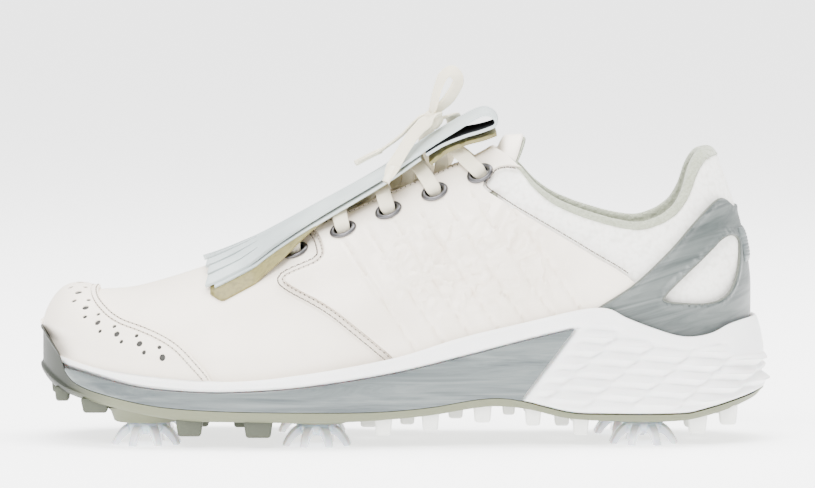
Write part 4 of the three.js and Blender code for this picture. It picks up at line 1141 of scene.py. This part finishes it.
def lug(x, length, y, width):
    """A tapered stud from its tip up into the sole, as points and faces."""
    low = max(float(sole_bottom(x)) - (TOE_LUG_DEPTH if x < -115 else LUG_DEPTH), 4)
    high = float(sole_bottom(x)) + 2
    corners = []
    for z, size in ((low, 0.8), (high, 1.0)):
        for a, b in ((-1, -1), (1, -1), (1, 1), (-1, 1)):
            corners.append((x + a * size * length / 2, y + b * size * width / 2 + SIDE_SHIFT, z))
    faces = [(3, 2, 1, 0), (4, 5, 6, 7), (0, 1, 5, 4), (1, 2, 6, 5), (2, 3, 7, 6), (3, 0, 4, 7)]
    return corners, faces


def joined(parts):
    """Several (points, faces) as one."""
    points, faces = [], []
    for some, made in parts:
        faces.extend(tuple(index + len(points) for index in face) for face in made)
        points.extend(tuple(p) for p in some)
    return points, faces


def lugs(front_rubber, rear_rubber):
    front, rear = [], []
    for x, length in EDGE_LUGS:
        for side in (-1, 1):
            y = float(outline_y(x, side, SOLE_TOE, SOLE_HEEL, SIDE_GROW)) - side * 7.5
            (front if x < -40 else rear).append(lug(x, length, y, 9))
    for x, length in MIDDLE_LUGS:
        (front if x < -40 else rear).append(lug(x, length, float(centre_y(x)), 12))
    front.append(lug(-143, 5, float(centre_y(-143)), 14))
    for name, made, material in (("front", front, front_rubber), ("rear", rear, rear_rubber)):
        piece = mesh_object(f"outsole_lugs_{name}", *joined(made), material)
        stand(bevel(piece, 1.1, 3))


def outsole(rubber_material):
    """The rubber plate, with a rim that turns up into a bumper at the toe."""
    bottom = [(SOLE_TOE + 3, SOLE_HEEL - 4, 1, sole_bottom),
              (SOLE_TOE + 1.6, SOLE_HEEL - 2.2, 3, raised(sole_bottom, 0.4)),
              (SOLE_TOE + 0.4, SOLE_HEEL - 0.8, 4.3, raised(sole_bottom, 1.5))]
    foot = raised(sole_bottom, 2.5)
    wall = [(SOLE_TOE, SOLE_HEEL - 0.5, SIDE_GROW + 0.4 * s, between(foot, outsole_top, s))
            for s in np.linspace(0, 1, 22)]
    lip = [(SOLE_TOE + 0.9, SOLE_HEEL - 1.4, SIDE_GROW - 0.5, outsole_top),
           (SOLE_TOE + 2.1, SOLE_HEEL - 2.6, SIDE_GROW - 1.6, raised(outsole_top, -0.2)),
           (SOLE_TOE + 4.2, SOLE_HEEL - 3, SIDE_GROW - 2, raised(outsole_top, -0.6)),
           (SOLE_TOE + 4.4, SOLE_HEEL - 3.2, SIDE_GROW - 2.2, plate_top)]

    def relief(ring, normals):
        x, z = ring[:, 0], ring[:, 2]
        low, high = sole_bottom(x) + 2.5, outsole_top(x)
        share = np.clip((z - low) / np.maximum(high - low, 1), 0, 1)
        dish = 0.9 * ramp(0.04, 0.12, share) * (1 - ramp(0.86, 0.95, share)) * (1 - ramp(-138, -128, x))
        on_wall = (z > low - 0.01) & (z < high - 0.01)
        return ring - normals * (dish * on_wall)[:, None]
    body = sole_body("outsole_plate", bottom + wall + lip, rubber_material, relief, count=260)
    stand(body, cad=["outsole"])


def lathe(profile, sides):
    """Points and faces of a closed (radius, height) profile turned about Z."""
    turns = np.arange(sides) * math.tau / sides
    points = [(r * math.cos(a), r * math.sin(a), h) for a in turns for r, h in profile]
    size = len(profile)
    faces = []
    for k in range(sides):
        a, b = k * size, (k + 1) % sides * size
        for j in range(size):
            i = (j + 1) % size
            faces.append((a + j, b + j, b + i, a + i))
    return np.array(points), faces


def bosses(rubber_material):
    """Round seats moulded into the outsole round each spike."""
    parts = []
    for x, y in CLEAT_AT:
        low, high = 9.5, float(sole_bottom(x)) + 2
        profile = [(9.3, low), (12.4, low), (13.2, low + 0.5), (14.6, high - 1.6), (16.4, high), (9.3, high)]
        points, faces = lathe(profile, 48)
        parts.append((points + (x, y + SIDE_SHIFT, 0), faces))
    piece = mesh_object("spike_seats", *joined(parts), rubber_material)
    stand(bevel(piece, 0.3))


def sockliner(cloth):
    inset = 9
    levels = [(TOE + inset + 2, HEEL - inset, -inset, raised(bed_height, 2)),
              (TOE + inset + 2, HEEL - inset, -inset, raised(bed_height, 4.8)),
              (TOE + inset + 2.6, HEEL - inset - 0.6, -inset - 0.6, raised(bed_height, 5.5))]
    levels += [(TOE + inset + 2 + k, HEEL - inset - k, -inset - k, raised(bed_height, 5.5))
               for k in (4, 10)]
    stand(sole_body("sockliner_cloth", levels, cloth), cad=["sockliner"])


# ---- Spikes and eyelets ----
def spike_leg(angle):
    """One leg: it springs from the hub in an arc and widens into a foot on the ground."""
    outer = [(r, 8.6 * (1 - ((r - 6) / 9.2) ** 2.1)) for r in np.linspace(6, 14.6, 8)]
    inner = [(r, 5.0 * (1 - ((r - 6) / 6.6) ** 2)) for r in np.linspace(12.3, 6, 7)]
    profile = outer + [(14.8, 0.0), (12.6, 0.0)] + inner
    size = len(profile)
    turn = np.array(((math.cos(angle), -math.sin(angle)), (math.sin(angle), math.cos(angle))))
    points = []
    for hand in (-1, 1):
        for r, z in profile:
            half = mix(2.1, 1.45, (r - 6) / 9)
            points.append((*(turn @ np.array((r, hand * half))), max(z, 0.0)))
    faces = [tuple(range(size)), tuple(range(2 * size - 1, size - 1, -1))]
    faces += [((k + 1) % size, k, size + k, size + (k + 1) % size) for k in range(size)]
    return points, faces


def spikes(plastic):
    hub = lathe([(0.01, 4.9), (5.2, 4.9), (7.4, 5.5), (8.4, 6.8), (8.2, 8.4), (7.0, 9.2), (5.4, 9.3),
                 (5.4, 10.3), (0.01, 10.3)], 40)
    ring = lathe([(3.4, 4.2), (4.6, 4.2), (4.9, 5.2), (3.1, 5.2)], 32)
    names = [joint["child"] for joint in frame["joints"] if joint["name"].startswith("spike_turn")]
    for index, ((x, y), body) in enumerate(zip(CLEAT_AT, names), 1):
        legs = [spike_leg((k + 0.5) * math.tau / 8) for k in range(8)]
        points, faces = joined([hub, ring, *legs])
        piece = mesh_object(f"spike_{index}", np.array(points) + (x, y + SIDE_SHIFT, 0), faces, plastic)
        stand(bevel(piece, 0.35, 2, 35), body, [f"cleat_{index}"])


def eyelets(metal, dark):
    profile = [(3.1, -2.4), (3.3, 1.4), (3.25, 2.3), (3.4, 2.95), (3.8, 3.25), (4.4, 3.2), (4.9, 2.85),
               (5.15, 2.3), (4.95, 2.0), (4.0, 1.95), (3.75, 1.2), (3.7, -2.4)]
    points, faces = lathe(profile, 48)
    floor = [(3.6 * math.cos(a), 3.6 * math.sin(a), -4.4) for a in np.arange(16) * math.tau / 16]
    for name, side in (("lateral", -1), ("medial", 1)):
        for index, x in enumerate(EYELET_X, 1):
            axes = np.array(upright(x, side * EYELET_T))
            origin = last_point(x, side * EYELET_T)
            sink = -1.9 if index == 1 else 0
            oval = points * (1.12, 0.9, 1) + (0, 0, sink)
            piece = mesh_object(f"eyelet_ring_{name}_{index}", oval @ axes + origin, faces, metal)
            stand(piece, cad=[f"eyelet_{name}_{index}"])
            # A dark disc deep in each eyelet: painted shade in the hole.
            disc = mesh_object(f"eyelet_shade_{name}_{index}", floor @ axes + origin,
                               [tuple(range(len(floor)))], dark)
            stand(disc)


# ---- Laces ----
CURVE_STEP = 0.8
TAPE_SIDES = 20


def curve_through(points):
    """A smooth line through given points."""
    points = np.asarray(points, float)
    padded = np.vstack([2 * points[0] - points[1], points, 2 * points[-1] - points[-2]])
    result = []
    for k in range(1, len(padded) - 2):
        a, b, c, d = padded[k - 1:k + 3]
        count = max(int(np.linalg.norm(c - b) / CURVE_STEP), 1)
        for t in np.arange(count) / count:
            result.append(0.5 * (2 * b + (c - a) * t + (2 * a - 5 * b + 4 * c - d) * t ** 2
                                 + (3 * b - a - 3 * c + d) * t ** 3))
    return np.vstack([*result, points[-1]])


def tape(name, points, sides, material, width=LACE_WIDTH, thickness=LACE_THICKNESS, ends=(1, 1)):
    """A flat woven lace: a rounded tape along a line, its width lying along sides.

    ends are the shares of the width at the first and last point.
    """
    line_points = curve_through(points)
    share = np.linspace(0, 1, len(line_points))
    given = np.asarray(sides, float)
    across = np.stack([np.interp(share * (len(given) - 1), np.arange(len(given)), column)
                       for column in given.T], 1)
    travel = unit(np.gradient(line_points, axis=0))
    across = unit(across - travel * (across * travel).sum(1, keepdims=True))
    up = np.cross(travel, across)
    reach = reach_along(line_points)
    narrow = 1 - (1 - ends[0]) * (1 - ramp(0, 7, reach))
    narrow -= (1 - ends[1]) * ramp(reach[-1] - 7, reach[-1], reach)
    turns = np.arange(TAPE_SIDES) * math.tau / TAPE_SIDES
    flat = np.sign(np.cos(turns)) * np.abs(np.cos(turns)) ** 0.55
    crown = np.sign(np.sin(turns)) * np.abs(np.sin(turns)) ** 0.8
    half = width / 2 * narrow[:, None, None]
    thick = thickness / 2 * (1 + 0.5 * (1 - narrow))[:, None, None]
    rings = line_points[:, None] + across[:, None] * flat[:, None] * half
    rings = rings + up[:, None] * crown[:, None] * thick
    count = len(line_points)
    last = (count - 1) * TAPE_SIDES
    faces = []
    for row in range(0, last, TAPE_SIDES):
        for j in range(TAPE_SIDES):
            a, b = row + j, row + (j + 1) % TAPE_SIDES
            faces.append((a, b, b + TAPE_SIDES, a + TAPE_SIDES))
    faces += [tuple(range(TAPE_SIDES - 1, -1, -1)), tuple(range(last, last + TAPE_SIDES))]
    obj = mesh_object(name, rings.reshape(-1, 3), faces, material)
    uv = obj.data.uv_layers.new(name="tape")
    spots = np.stack([np.repeat(reach, TAPE_SIDES), np.tile(flat, count) * width / 2], 1) * MM
    corners = np.array([loop.vertex_index for loop in obj.data.loops])
    uv.data.foreach_set("uv", spots[corners].ravel())
    return obj, line_points * MM


def strap(name, route, material, ends=(1, 1)):
    """A lace over the upper, through (station, v, offset) points."""
    x, v, offset = np.array(route, float).T
    points = skin(x, v, offset)
    sides = np.cross(skin_normal(x, v), np.gradient(points, axis=0))
    return tape(name, points, sides, material, STRAP_WIDTH, ends=ends)[0]


STRAP_WIDTH = 6.2
STRAP_LEAN = (1, 3, 8, 14)     # how far each crossing runs towards the toe before the ridge


def laces(cotton):
    half_bar = [(-44, 0.32, -3), (-44, 0.318, 1), (-44.2, 0.29, 3.4), (-44.4, 0.24, 3.6),
                (-44.3, 0.17, 1.6)]
    bar = [(x, -v, offset) for x, v, offset in half_bar] + [(-44, 0, 1.4)] + half_bar[::-1]
    stand(strap("lace_over_1", bar, cotton, (0.6, 0.6)), cad=["lace_bar_1"])
    for i in range(1, len(EYELET_X)):
        back, lean = EYELET_X[i], STRAP_LEAN[i - 1]
        front = min(EYELET_X[i - 1] + 5, back - lean - 4)
        for name, side, above in (("lateral", -1, 2.5), ("medial", 1, 1.1)):
            e = side * EYELET_T
            lift = above + 1.35 * i
            route = [(back, e, -3), (back, e * 0.99, 1.5), (back - 0.1 * lean, e * 0.92, 4.3),
                     (back - 0.28 * lean, e * 0.78, 5.4), (back - 0.5 * lean, side * 0.18, mix(5.4, lift, 0.5)),
                     (back - 0.75 * lean, side * 0.09, mix(5.4, lift, 0.9)), (back - lean, 0, lift),
                     (mix(back - lean, front, 0.6), side * -0.09, -0.2), (front, side * -0.16, -1.6)]
            piece = strap(f"lace_over_{i + 1}_{name}", route, cotton, (0.62, 1))
            stand(piece, cad=[f"lace_crossing_{i + 1}"] if side < 0 else ())


KNOT = (12.4, -5, 132.2)
LOOP_NEAR = ((11.6, -5.5, 133.4), (12.8, -7.5, 138), (14.4, -8.5, 144.6), (16.8, -9, 150.4),
             (20.4, -9, 152.2), (23, -8, 148.4), (19.4, -6.5, 141.2), (14.6, -5.2, 136.2), (12.8, -5, 133.2))
LOOP_NEAR_SIDE = ((-0.5, 0.85, 0.2), (-0.45, 0.87, 0.2), (-0.45, 0.85, 0.2), (-0.4, 0.75, 0.45),
                  (0.3, 0.65, 0.75), (0.8, 0.6, 0.1), (0.45, 0.7, -0.6), (0.4, 0.8, -0.4), (0.4, 0.8, -0.4))
LOOP_FAR = ((16.5, 1.5, 132.6), (19.5, 9, 133.2), (21, 16, 132.6), (21.6, 22, 128.6), (20.6, 26, 121),
            (17.5, 28.6, 113), (14, 29, 108), (10.6, 28, 109), (9.4, 26, 114.5), (9.6, 23.6, 121),
            (10.2, 19, 126.6), (10.8, 11, 129.2), (11, 2.6, 130.6))
TAIL_SHORT = ((10.4, -4.2, 134.2), (7.6, -4.6, 133.4), (4.2, -4.8, 130.4), (1, -4.8, 127), (-3, -4, 123.6),
              (-9, -1.6, 119.2), (-9.4, -1.2, 119), (-14, 2.6, 116.6), (-19, 6.4, 113.8))
TAIL_LONG = ((15.6, -9, 134.4), (11.7, -11.2, 133), (7.4, -12.4, 129.4), (3.8, -14.4, 125.4),
             (1.2, -17, 121.6), (-1.4, -20.2, 117.6), (-3.6, -22.6, 114), (-3.8, -22.9, 113.4),
             (-5.2, -24.9, 110.6), (-6.8, -26.2, 107.4))
TIP_POINTS = 3         # the route's last points, which the moulded tip covers


def shifted(points):
    """Given route points, moved with the last's middle line into the frame."""
    return np.asarray(points, float) + (0, SIDE_SHIFT, 0)


def bow(cotton, sleeve):
    """The bow's two loops and its two ends with moulded tips; its knot is made by knot()."""
    exit_point = [value * MM for value in shifted(KNOT)]
    for name, route, sides in (("bow_loop_near", LOOP_NEAR, LOOP_NEAR_SIDE),
                               ("bow_loop_far", LOOP_FAR, [(1, 0, 0.35)] * len(LOOP_FAR))):
        loop, path = tape(f"{name}_tape", shifted(route), sides, cotton, ends=(0.7, 0.7))
        stand(loop, cad=[name])
    for name, route, side in (("short", TAIL_SHORT, (0.2, 1, 0)), ("long", TAIL_LONG, (1, 0, 0.5))):
        tail, path = tape(f"lace_tail_{name}_tape", shifted(route), [side] * len(route), cotton,
                          ends=(0.75, 0.4))
        end, _ = tape(f"aglet_{name}_sleeve", shifted(route[-TIP_POINTS:]), [side] * TIP_POINTS, sleeve,
                      3.6, 2.4, (0.96, 0.85))
        stand(end, "flap", [f"aglet_{name}"])
        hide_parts(f"lace_tail_{name}")
        [v * MM for v in shifted((9, 0, 131))]
        [v * MM for v in shifted((-1, 0, 124))]
        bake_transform(tail)


def knot(cotton):
    """The knot: a lumpy core with two turns of lace drawn tight across it."""
    def at(u, w):
        turn, rise = u * math.tau, (w - 0.5) * math.pi
        lump = 1 + 0.09 * np.sin(3 * turn + 1) * np.cos(rise) + 0.06 * np.cos(5 * turn + 2 * rise)
        spot = np.stack([4.0 * np.cos(turn) * np.cos(rise), 4.3 * np.sin(turn) * np.cos(rise),
                         3.1 * np.sin(rise)], -1)
        return spot * lump[..., None] + shifted(KNOT)
    stand(grid_object("lace_knot_core", at, 40, 20, cotton, True), cad=["lace_knot"])
    turns = np.linspace(-2.6, 2.6, 20)
    for index, (axis, rise) in enumerate((((0.86, 0.2, -0.47), 0.6), ((0.62, -0.25, 0.74), 0.2)), 1):
        axis = np.array(axis)
        front = np.array((0, -1, 0)) + axis * axis[1]
        above = np.cross(axis, front)
        route = [shifted(KNOT) + front * (4.0 + rise) * math.cos(a) + above * (3.4 + rise) * math.sin(a)
                 for a in turns]
        wrap, _ = tape(f"lace_knot_wrap_{index}", route, [axis] * len(route), cotton, 4.6, 1.2, (0.6, 0.6))
        stand(wrap)


# ---- Kiltie: one leather piece, with a fringed front end and its top folded under ----
kiltie_mid = smooth((-82, 74.2), (-76, 76.8), (-68, 80.6), (-54, 87.4), (-35, 98), (-16, 108.6), (-5, 115.2),
                    (9, 124.4), (20, 131), (30, 136.6))
kiltie_half = smooth((-82, 28), (-68, 25), (-54, 22.5), (-35, 21.5), (9, 19.5), (40, 19))
kiltie_droop = smooth((-82, 15), (-70, 11.5), (-54, 6.5), (-35, 4.8), (9, 3.4), (40, 1.4))
FOLD = ((9.3, 124.7), (14, 127.6), (20, 131), (30, 136.3), (35, 137.2), (38.8, 134.6), (38.6, 131.4),
        (33, 129.4), (26, 127.9), (18, 125.4), (13.5, 123.2), (10, 121.2))
BACKING = ((38.4, 128.6), (33, 126.9), (26, 125.5), (19, 123.2), (14.5, 120.6), (11, 117.7))
FRINGE_ROOT = -60.0
FRINGE_STRIPS = 8
TIP_HALF, ROOT_HALF = 28, 22.9      # half widths at the fringe's tips and at its root
FLAP_POINTS = 120


def side_curve(points):
    """A smooth line through (x, z) points."""
    return curve_through(np.insert(np.array(points, float), 1, 0, axis=1))[:, [0, 2]]


def kiltie_line():
    """The kiltie's middle line, from the fringe tips up the foot and back under the fold, as (x, z)."""
    flap_x = np.linspace(-82, 8.7, FLAP_POINTS)
    return np.vstack([np.stack([flap_x, kiltie_mid(flap_x)], 1), side_curve(FOLD)])


MIDDLE = kiltie_line()
MIDDLE_REACH = reach_along(MIDDLE)
FOLD_TOP = float(MIDDLE_REACH[int(np.argmax(MIDDLE[:, 0]))])


def on_strip(middle, reach, flat, offset):
    """Points of a drooping strip: flat is the way along its middle line and the way across it."""
    x, z = (np.interp(flat[:, 0], reach, column) for column in middle.T)
    ahead, behind = (np.stack([np.interp(flat[:, 0] + step, reach, column) for column in middle.T], 1)
                     for step in (0.6, -0.6))
    travel = unit(ahead - behind)
    share = flat[:, 1] / kiltie_half(x)
    points = np.stack([x, flat[:, 1] + SIDE_SHIFT, z - kiltie_droop(x) * share ** 2], 1)
    normal = np.stack([-travel[:, 1], np.zeros(len(x)), travel[:, 0]], 1)
    return points + normal * np.asarray(offset)[..., None]


def flap_reach(x):
    """Where the flap has the station x, as the way along the kiltie's middle line."""
    return np.interp(x, MIDDLE[:FLAP_POINTS, 0], MIDDLE_REACH[:FLAP_POINTS])


def resting(points, clear):
    """Lifts the points that would sink into the upper, so that the leather lies on it."""
    v = np.linspace(-0.95, 0.95, 77)
    for point in points:
        section = last_point(np.full(77, point[0]), v)
        point[2] = max(point[2], np.interp(point[1], section[:, 1], section[:, 2]) + clear)
    return points


def kiltie_outline():
    """Flat outline with the fringe's strips parted by narrow slits."""
    root = float(flap_reach(FRINGE_ROOT))
    tips = []
    rng = np.random.default_rng(5)
    for k in range(FRINGE_STRIPS):
        edges = [(2 * (k + s) / FRINGE_STRIPS - 1) for s in (0, 1)]
        trim = rng.uniform(0, 2.6)
        left, right = (e * TIP_HALF for e in edges)
        near, far = (e * ROOT_HALF for e in edges)
        gap_at_tip = 0.8
        tips.append([(root, near + 0.25), (trim, left + gap_at_tip), (trim + 0.5, right - gap_at_tip),
                     (root, far - 0.25)])
    points = []
    for k, (_, b, c, d) in enumerate(tips):
        points += [b, c]
        if k < FRINGE_STRIPS - 1:
            points += [d, (root + 0.8, (d[1] + tips[k + 1][0][1]) / 2), tips[k + 1][0]]
    along = np.linspace(root, MIDDLE_REACH[-1], 40)
    half = kiltie_half(np.interp(along, MIDDLE_REACH, MIDDLE[:, 0]))
    sides = [np.stack([along, half], 1), np.stack([along[::-1], -half[::-1]], 1)]
    return np.vstack([points, *sides]), root


def kiltie(face, back, inside_fold):
    outline, root = kiltie_outline()
    flat, triangles = cut_sheet(outline, (), 1.2)
    half = np.interp(flat[:, 0], (0, root), (TIP_HALF, ROOT_HALF))
    strip = np.clip(((flat[:, 1] / half + 1) * FRINGE_STRIPS / 2).astype(int), 0, FRINGE_STRIPS - 1)
    rng = np.random.default_rng(9)
    loose = np.clip((root - flat[:, 0]) / root, 0, 1)
    lifts, curls = rng.uniform(-0.4, 1.8, FRINGE_STRIPS), rng.uniform(-0.06, 0.06, FRINGE_STRIPS)
    centre = (2 * (strip + 0.5) / FRINGE_STRIPS - 1) * half
    lift = loose ** 1.6 * lifts[strip] + loose * curls[strip] * (flat[:, 1] - centre) * 4
    lift += 0.25 * np.sin(flat[:, 0] / 17 + flat[:, 1] / 9) * ramp(8, 30, flat[:, 0])
    points = resting(on_strip(MIDDLE, MIDDLE_REACH, flat, lift), 4.0)
    piece = mesh_object("kiltie_leather", points, triangles, face)
    for material in (back, face, inside_fold):
        piece.data.materials.append(material)
    # The inner side of the faces near the fold gets the black of inside_fold: painted shade in the fold's
    # hollow.
    folded = flat[triangles].mean(1)[:, 0] > FOLD_TOP - 17
    piece.data.polygons.foreach_set("material_index", np.where(folded, 2, 0).astype(np.int32))
    solid = piece.modifiers.new("thickness", "SOLIDIFY")
    solid.thickness = 1.3 * MM
    solid.offset = -1
    solid.material_offset = 1
    solid.material_offset_rim = 0
    bevel(piece, 0.25)
    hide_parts("kiltie_flap", "kiltie_fold")
    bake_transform(piece)


def under_flap(name, x, near, far, hang, clear, material):
    """A sheet under the flap, from -near to far across the foot and hung from the flap's surface."""
    reach = flap_reach(x)
    border = np.vstack([np.stack([reach, -near], 1), np.stack([reach[::-1], far[::-1]], 1)])
    flat, triangles = cut_sheet(border, (), 1.6)
    points = resting(on_strip(MIDDLE, MIDDLE_REACH, flat, hang(flat[:, 1])), clear)
    return mesh_object(name, points, triangles, material)


def kiltie_ply(face):
    """The lower ply of the folded leather, close under the flap, with a dark line between the two."""
    x = np.linspace(-78, 6, 40)
    half = kiltie_half(x) + 0.3
    piece = under_flap("kiltie_lower_ply", x, half, half, lambda y: np.full(len(y), -2.3), 2.5, face)
    stand(thicken(piece, 1.1, 0.25), "flap")


def kiltie_underlay(back):
    """The suede under the flap: it shows below the near edge, and hangs lower on the far side, where its dark
    khaki fills the gap under the flap as painted shade.
    """
    x = np.linspace(-80, 6, 60)
    near = kiltie_half(x) + 8 * ramp(-83, -74, x) * (1 - ramp(-54, -32, x)) - 1
    piece = under_flap("kiltie_underlay_suede_and_shade", x, near, kiltie_half(x) + 3,
                       lambda y: -3 - 6.5 * ramp(12, 24, y), 1.3, back)
    stand(thicken(piece, 1.0, 0.25), "flap")


def kiltie_backing(back):
    middle = side_curve(BACKING)
    reach = reach_along(middle)
    border = [(0, -17), (0, 17), (reach[-1], 17.4), (reach[-1], -17.4)]
    flat, triangles = cut_sheet(np.array(border), (), 1.4)
    piece = mesh_object("kiltie_backing_suede", on_strip(middle, reach, flat, 1.6), triangles, back)
    stand(thicken(piece, 1.6, 0.4), cad=["kiltie_backing"])


# ---- Assembly ----
def dress(names, material):
    """Repaints CAD pieces that stay as they are."""
    for name in names:
        data = frame["nodes"][name].data
        data.materials.clear()
        data.materials.append(material)


def studio():
    bpy.ops.mesh.primitive_plane_add(size=60, location=(0, 0, 0))
    floor = bpy.context.active_object
    floor.name = "floor"
    white = new_material("floor", (0.93, 0.93, 0.93), 0.6)
    shade(white, Emission_Color=(1, 1, 1, 1), Emission_Strength=2.0)
    floor.data.materials.append(white)
    world = bpy.data.worlds.new("studio")
    world.use_nodes = True
    world.node_tree.nodes["Background"].inputs["Color"].default_value = (1, 1, 1, 1)
    world.node_tree.nodes["Background"].inputs["Strength"].default_value = 1.4
    bpy.context.scene.world = world
    area_light("key", (-0.5, -1.4, 1.5), (0, 0, 0.06), (1.2, 0.9), 64)
    area_light("overhead", (0.15, 0.2, 1.6), (0, 0, 0.05), (1.6, 1.2), 80)
    area_light("rim", (1.1, 0.9, 0.9), (0, 0, 0.08), (0.8, 0.8), 8)


def main():
    camera()
    cotton = woven_cotton("lace_cotton", rgb(253, 246, 224), rgb(238, 228, 200))
    sleeve = new_material("aglet_film", rgb(232, 225, 202), 0.3)
    bow(cotton, sleeve)
    knot(cotton)
    laces(cotton)

    cream = leather("cream_leather", rgb(253, 243, 229), rgb(247, 236, 221))
    quarter_hide = leather("quarter_leather", rgb(252, 242, 228), rgb(240, 229, 214), 0.24)
    pebbled = pebbled_leather("collar_leather", rgb(249, 247, 241), rgb(222, 219, 210))
    thread = stitching_thread("cream_thread", rgb(180, 168, 154))
    dark_thread = stitching_thread("grey_thread", rgb(96, 86, 76))
    # Dark capsules for the needle holes: painted shade.
    needle_shade = plain_matte("needle_hole_shade", rgb(60, 52, 45), 0.9)
    # Flat dark colour for painted shade in the brogue holes and deep in the eyelets.
    painted_shade = plain_matte("painted_shade_dark", rgb(58, 58, 56), 0.95)
    cloth = felt("sage_felt", rgb(170, 174, 154), rgb(134, 139, 118))
    inner_mesh = mesh_knit("inner_mesh", rgb(160, 165, 146), rgb(106, 110, 94))
    grey = streaked_tpu("grey_moulding", rgb(108, 115, 114), rgb(66, 74, 76))
    cage_grey = streaked_tpu("cage_moulding", rgb(98, 104, 102), rgb(62, 69, 68), 0.3)
    foam = moulded_foam("white_foam", rgb(246, 246, 245), rgb(240, 240, 239))
    sage_rubber = rubber("sage_rubber", rgb(98, 101, 78), rgb(80, 83, 60), nose=rgb(32, 36, 26))
    lug_rubber = rubber("lug_rubber", rgb(62, 66, 50), rgb(50, 54, 40))
    white_rubber = rubber("white_rubber", rgb(232, 232, 228), rgb(220, 220, 214))

    toe_cap(cream, thread, needle_shade)
    brogue_shade_sheet(painted_shade)
    vamp(cream, thread)
    for side in (-1, 1):
        quarter(side, quarter_hide, thread, dark_thread, needle_shade)
        side_band(side, grey)
    collar_leather(pebbled)
    heel_cage(cage_grey, rubber("cage_edge", rgb(92, 95, 86), rgb(78, 82, 74), 0.4))
    heel_pad(grey)
    collar_roll(cloth)
    quarter_lining(inner_mesh)
    tongue(cream, inner_mesh)
    sockliner(cloth)
    midsole(foam)
    outsole(sage_rubber)
    lugs(lug_rubber, white_rubber)
    bosses(sage_rubber)
    spikes(spike_plastic("spike_urethane"))
    eyelets(eyelet_metal("dark_nickel"), painted_shade)
    khaki = pebbled_leather("khaki_suede", rgb(120, 112, 66), rgb(92, 84, 48))
    pale = leather("kiltie_leather", rgb(188, 197, 196), rgb(160, 171, 172), 0.42)
    kiltie_ply(pale)
    # The black inside the kiltie's fold is painted shade.
    kiltie(pale, khaki, plain_matte("fold_painted_shade", rgb(22, 24, 30), 0.9))
    kiltie_underlay(khaki)
    kiltie_backing(khaki)
    dress(["toe_puff", "heel_counter", "strobel_board"], plain_matte("stiffener_board", rgb(216, 210, 192)))
    dress(["vamp_lining"], inner_mesh)
    dress(["shank"], plain_matte("shank_plate", rgb(48, 50, 54), 0.5))
    dress([f"receptacle_{k}" for k in range(1, 7)],
          rubber("receptacle_nylon", rgb(140, 146, 152), rgb(120, 126, 132)))
    studio()


main()
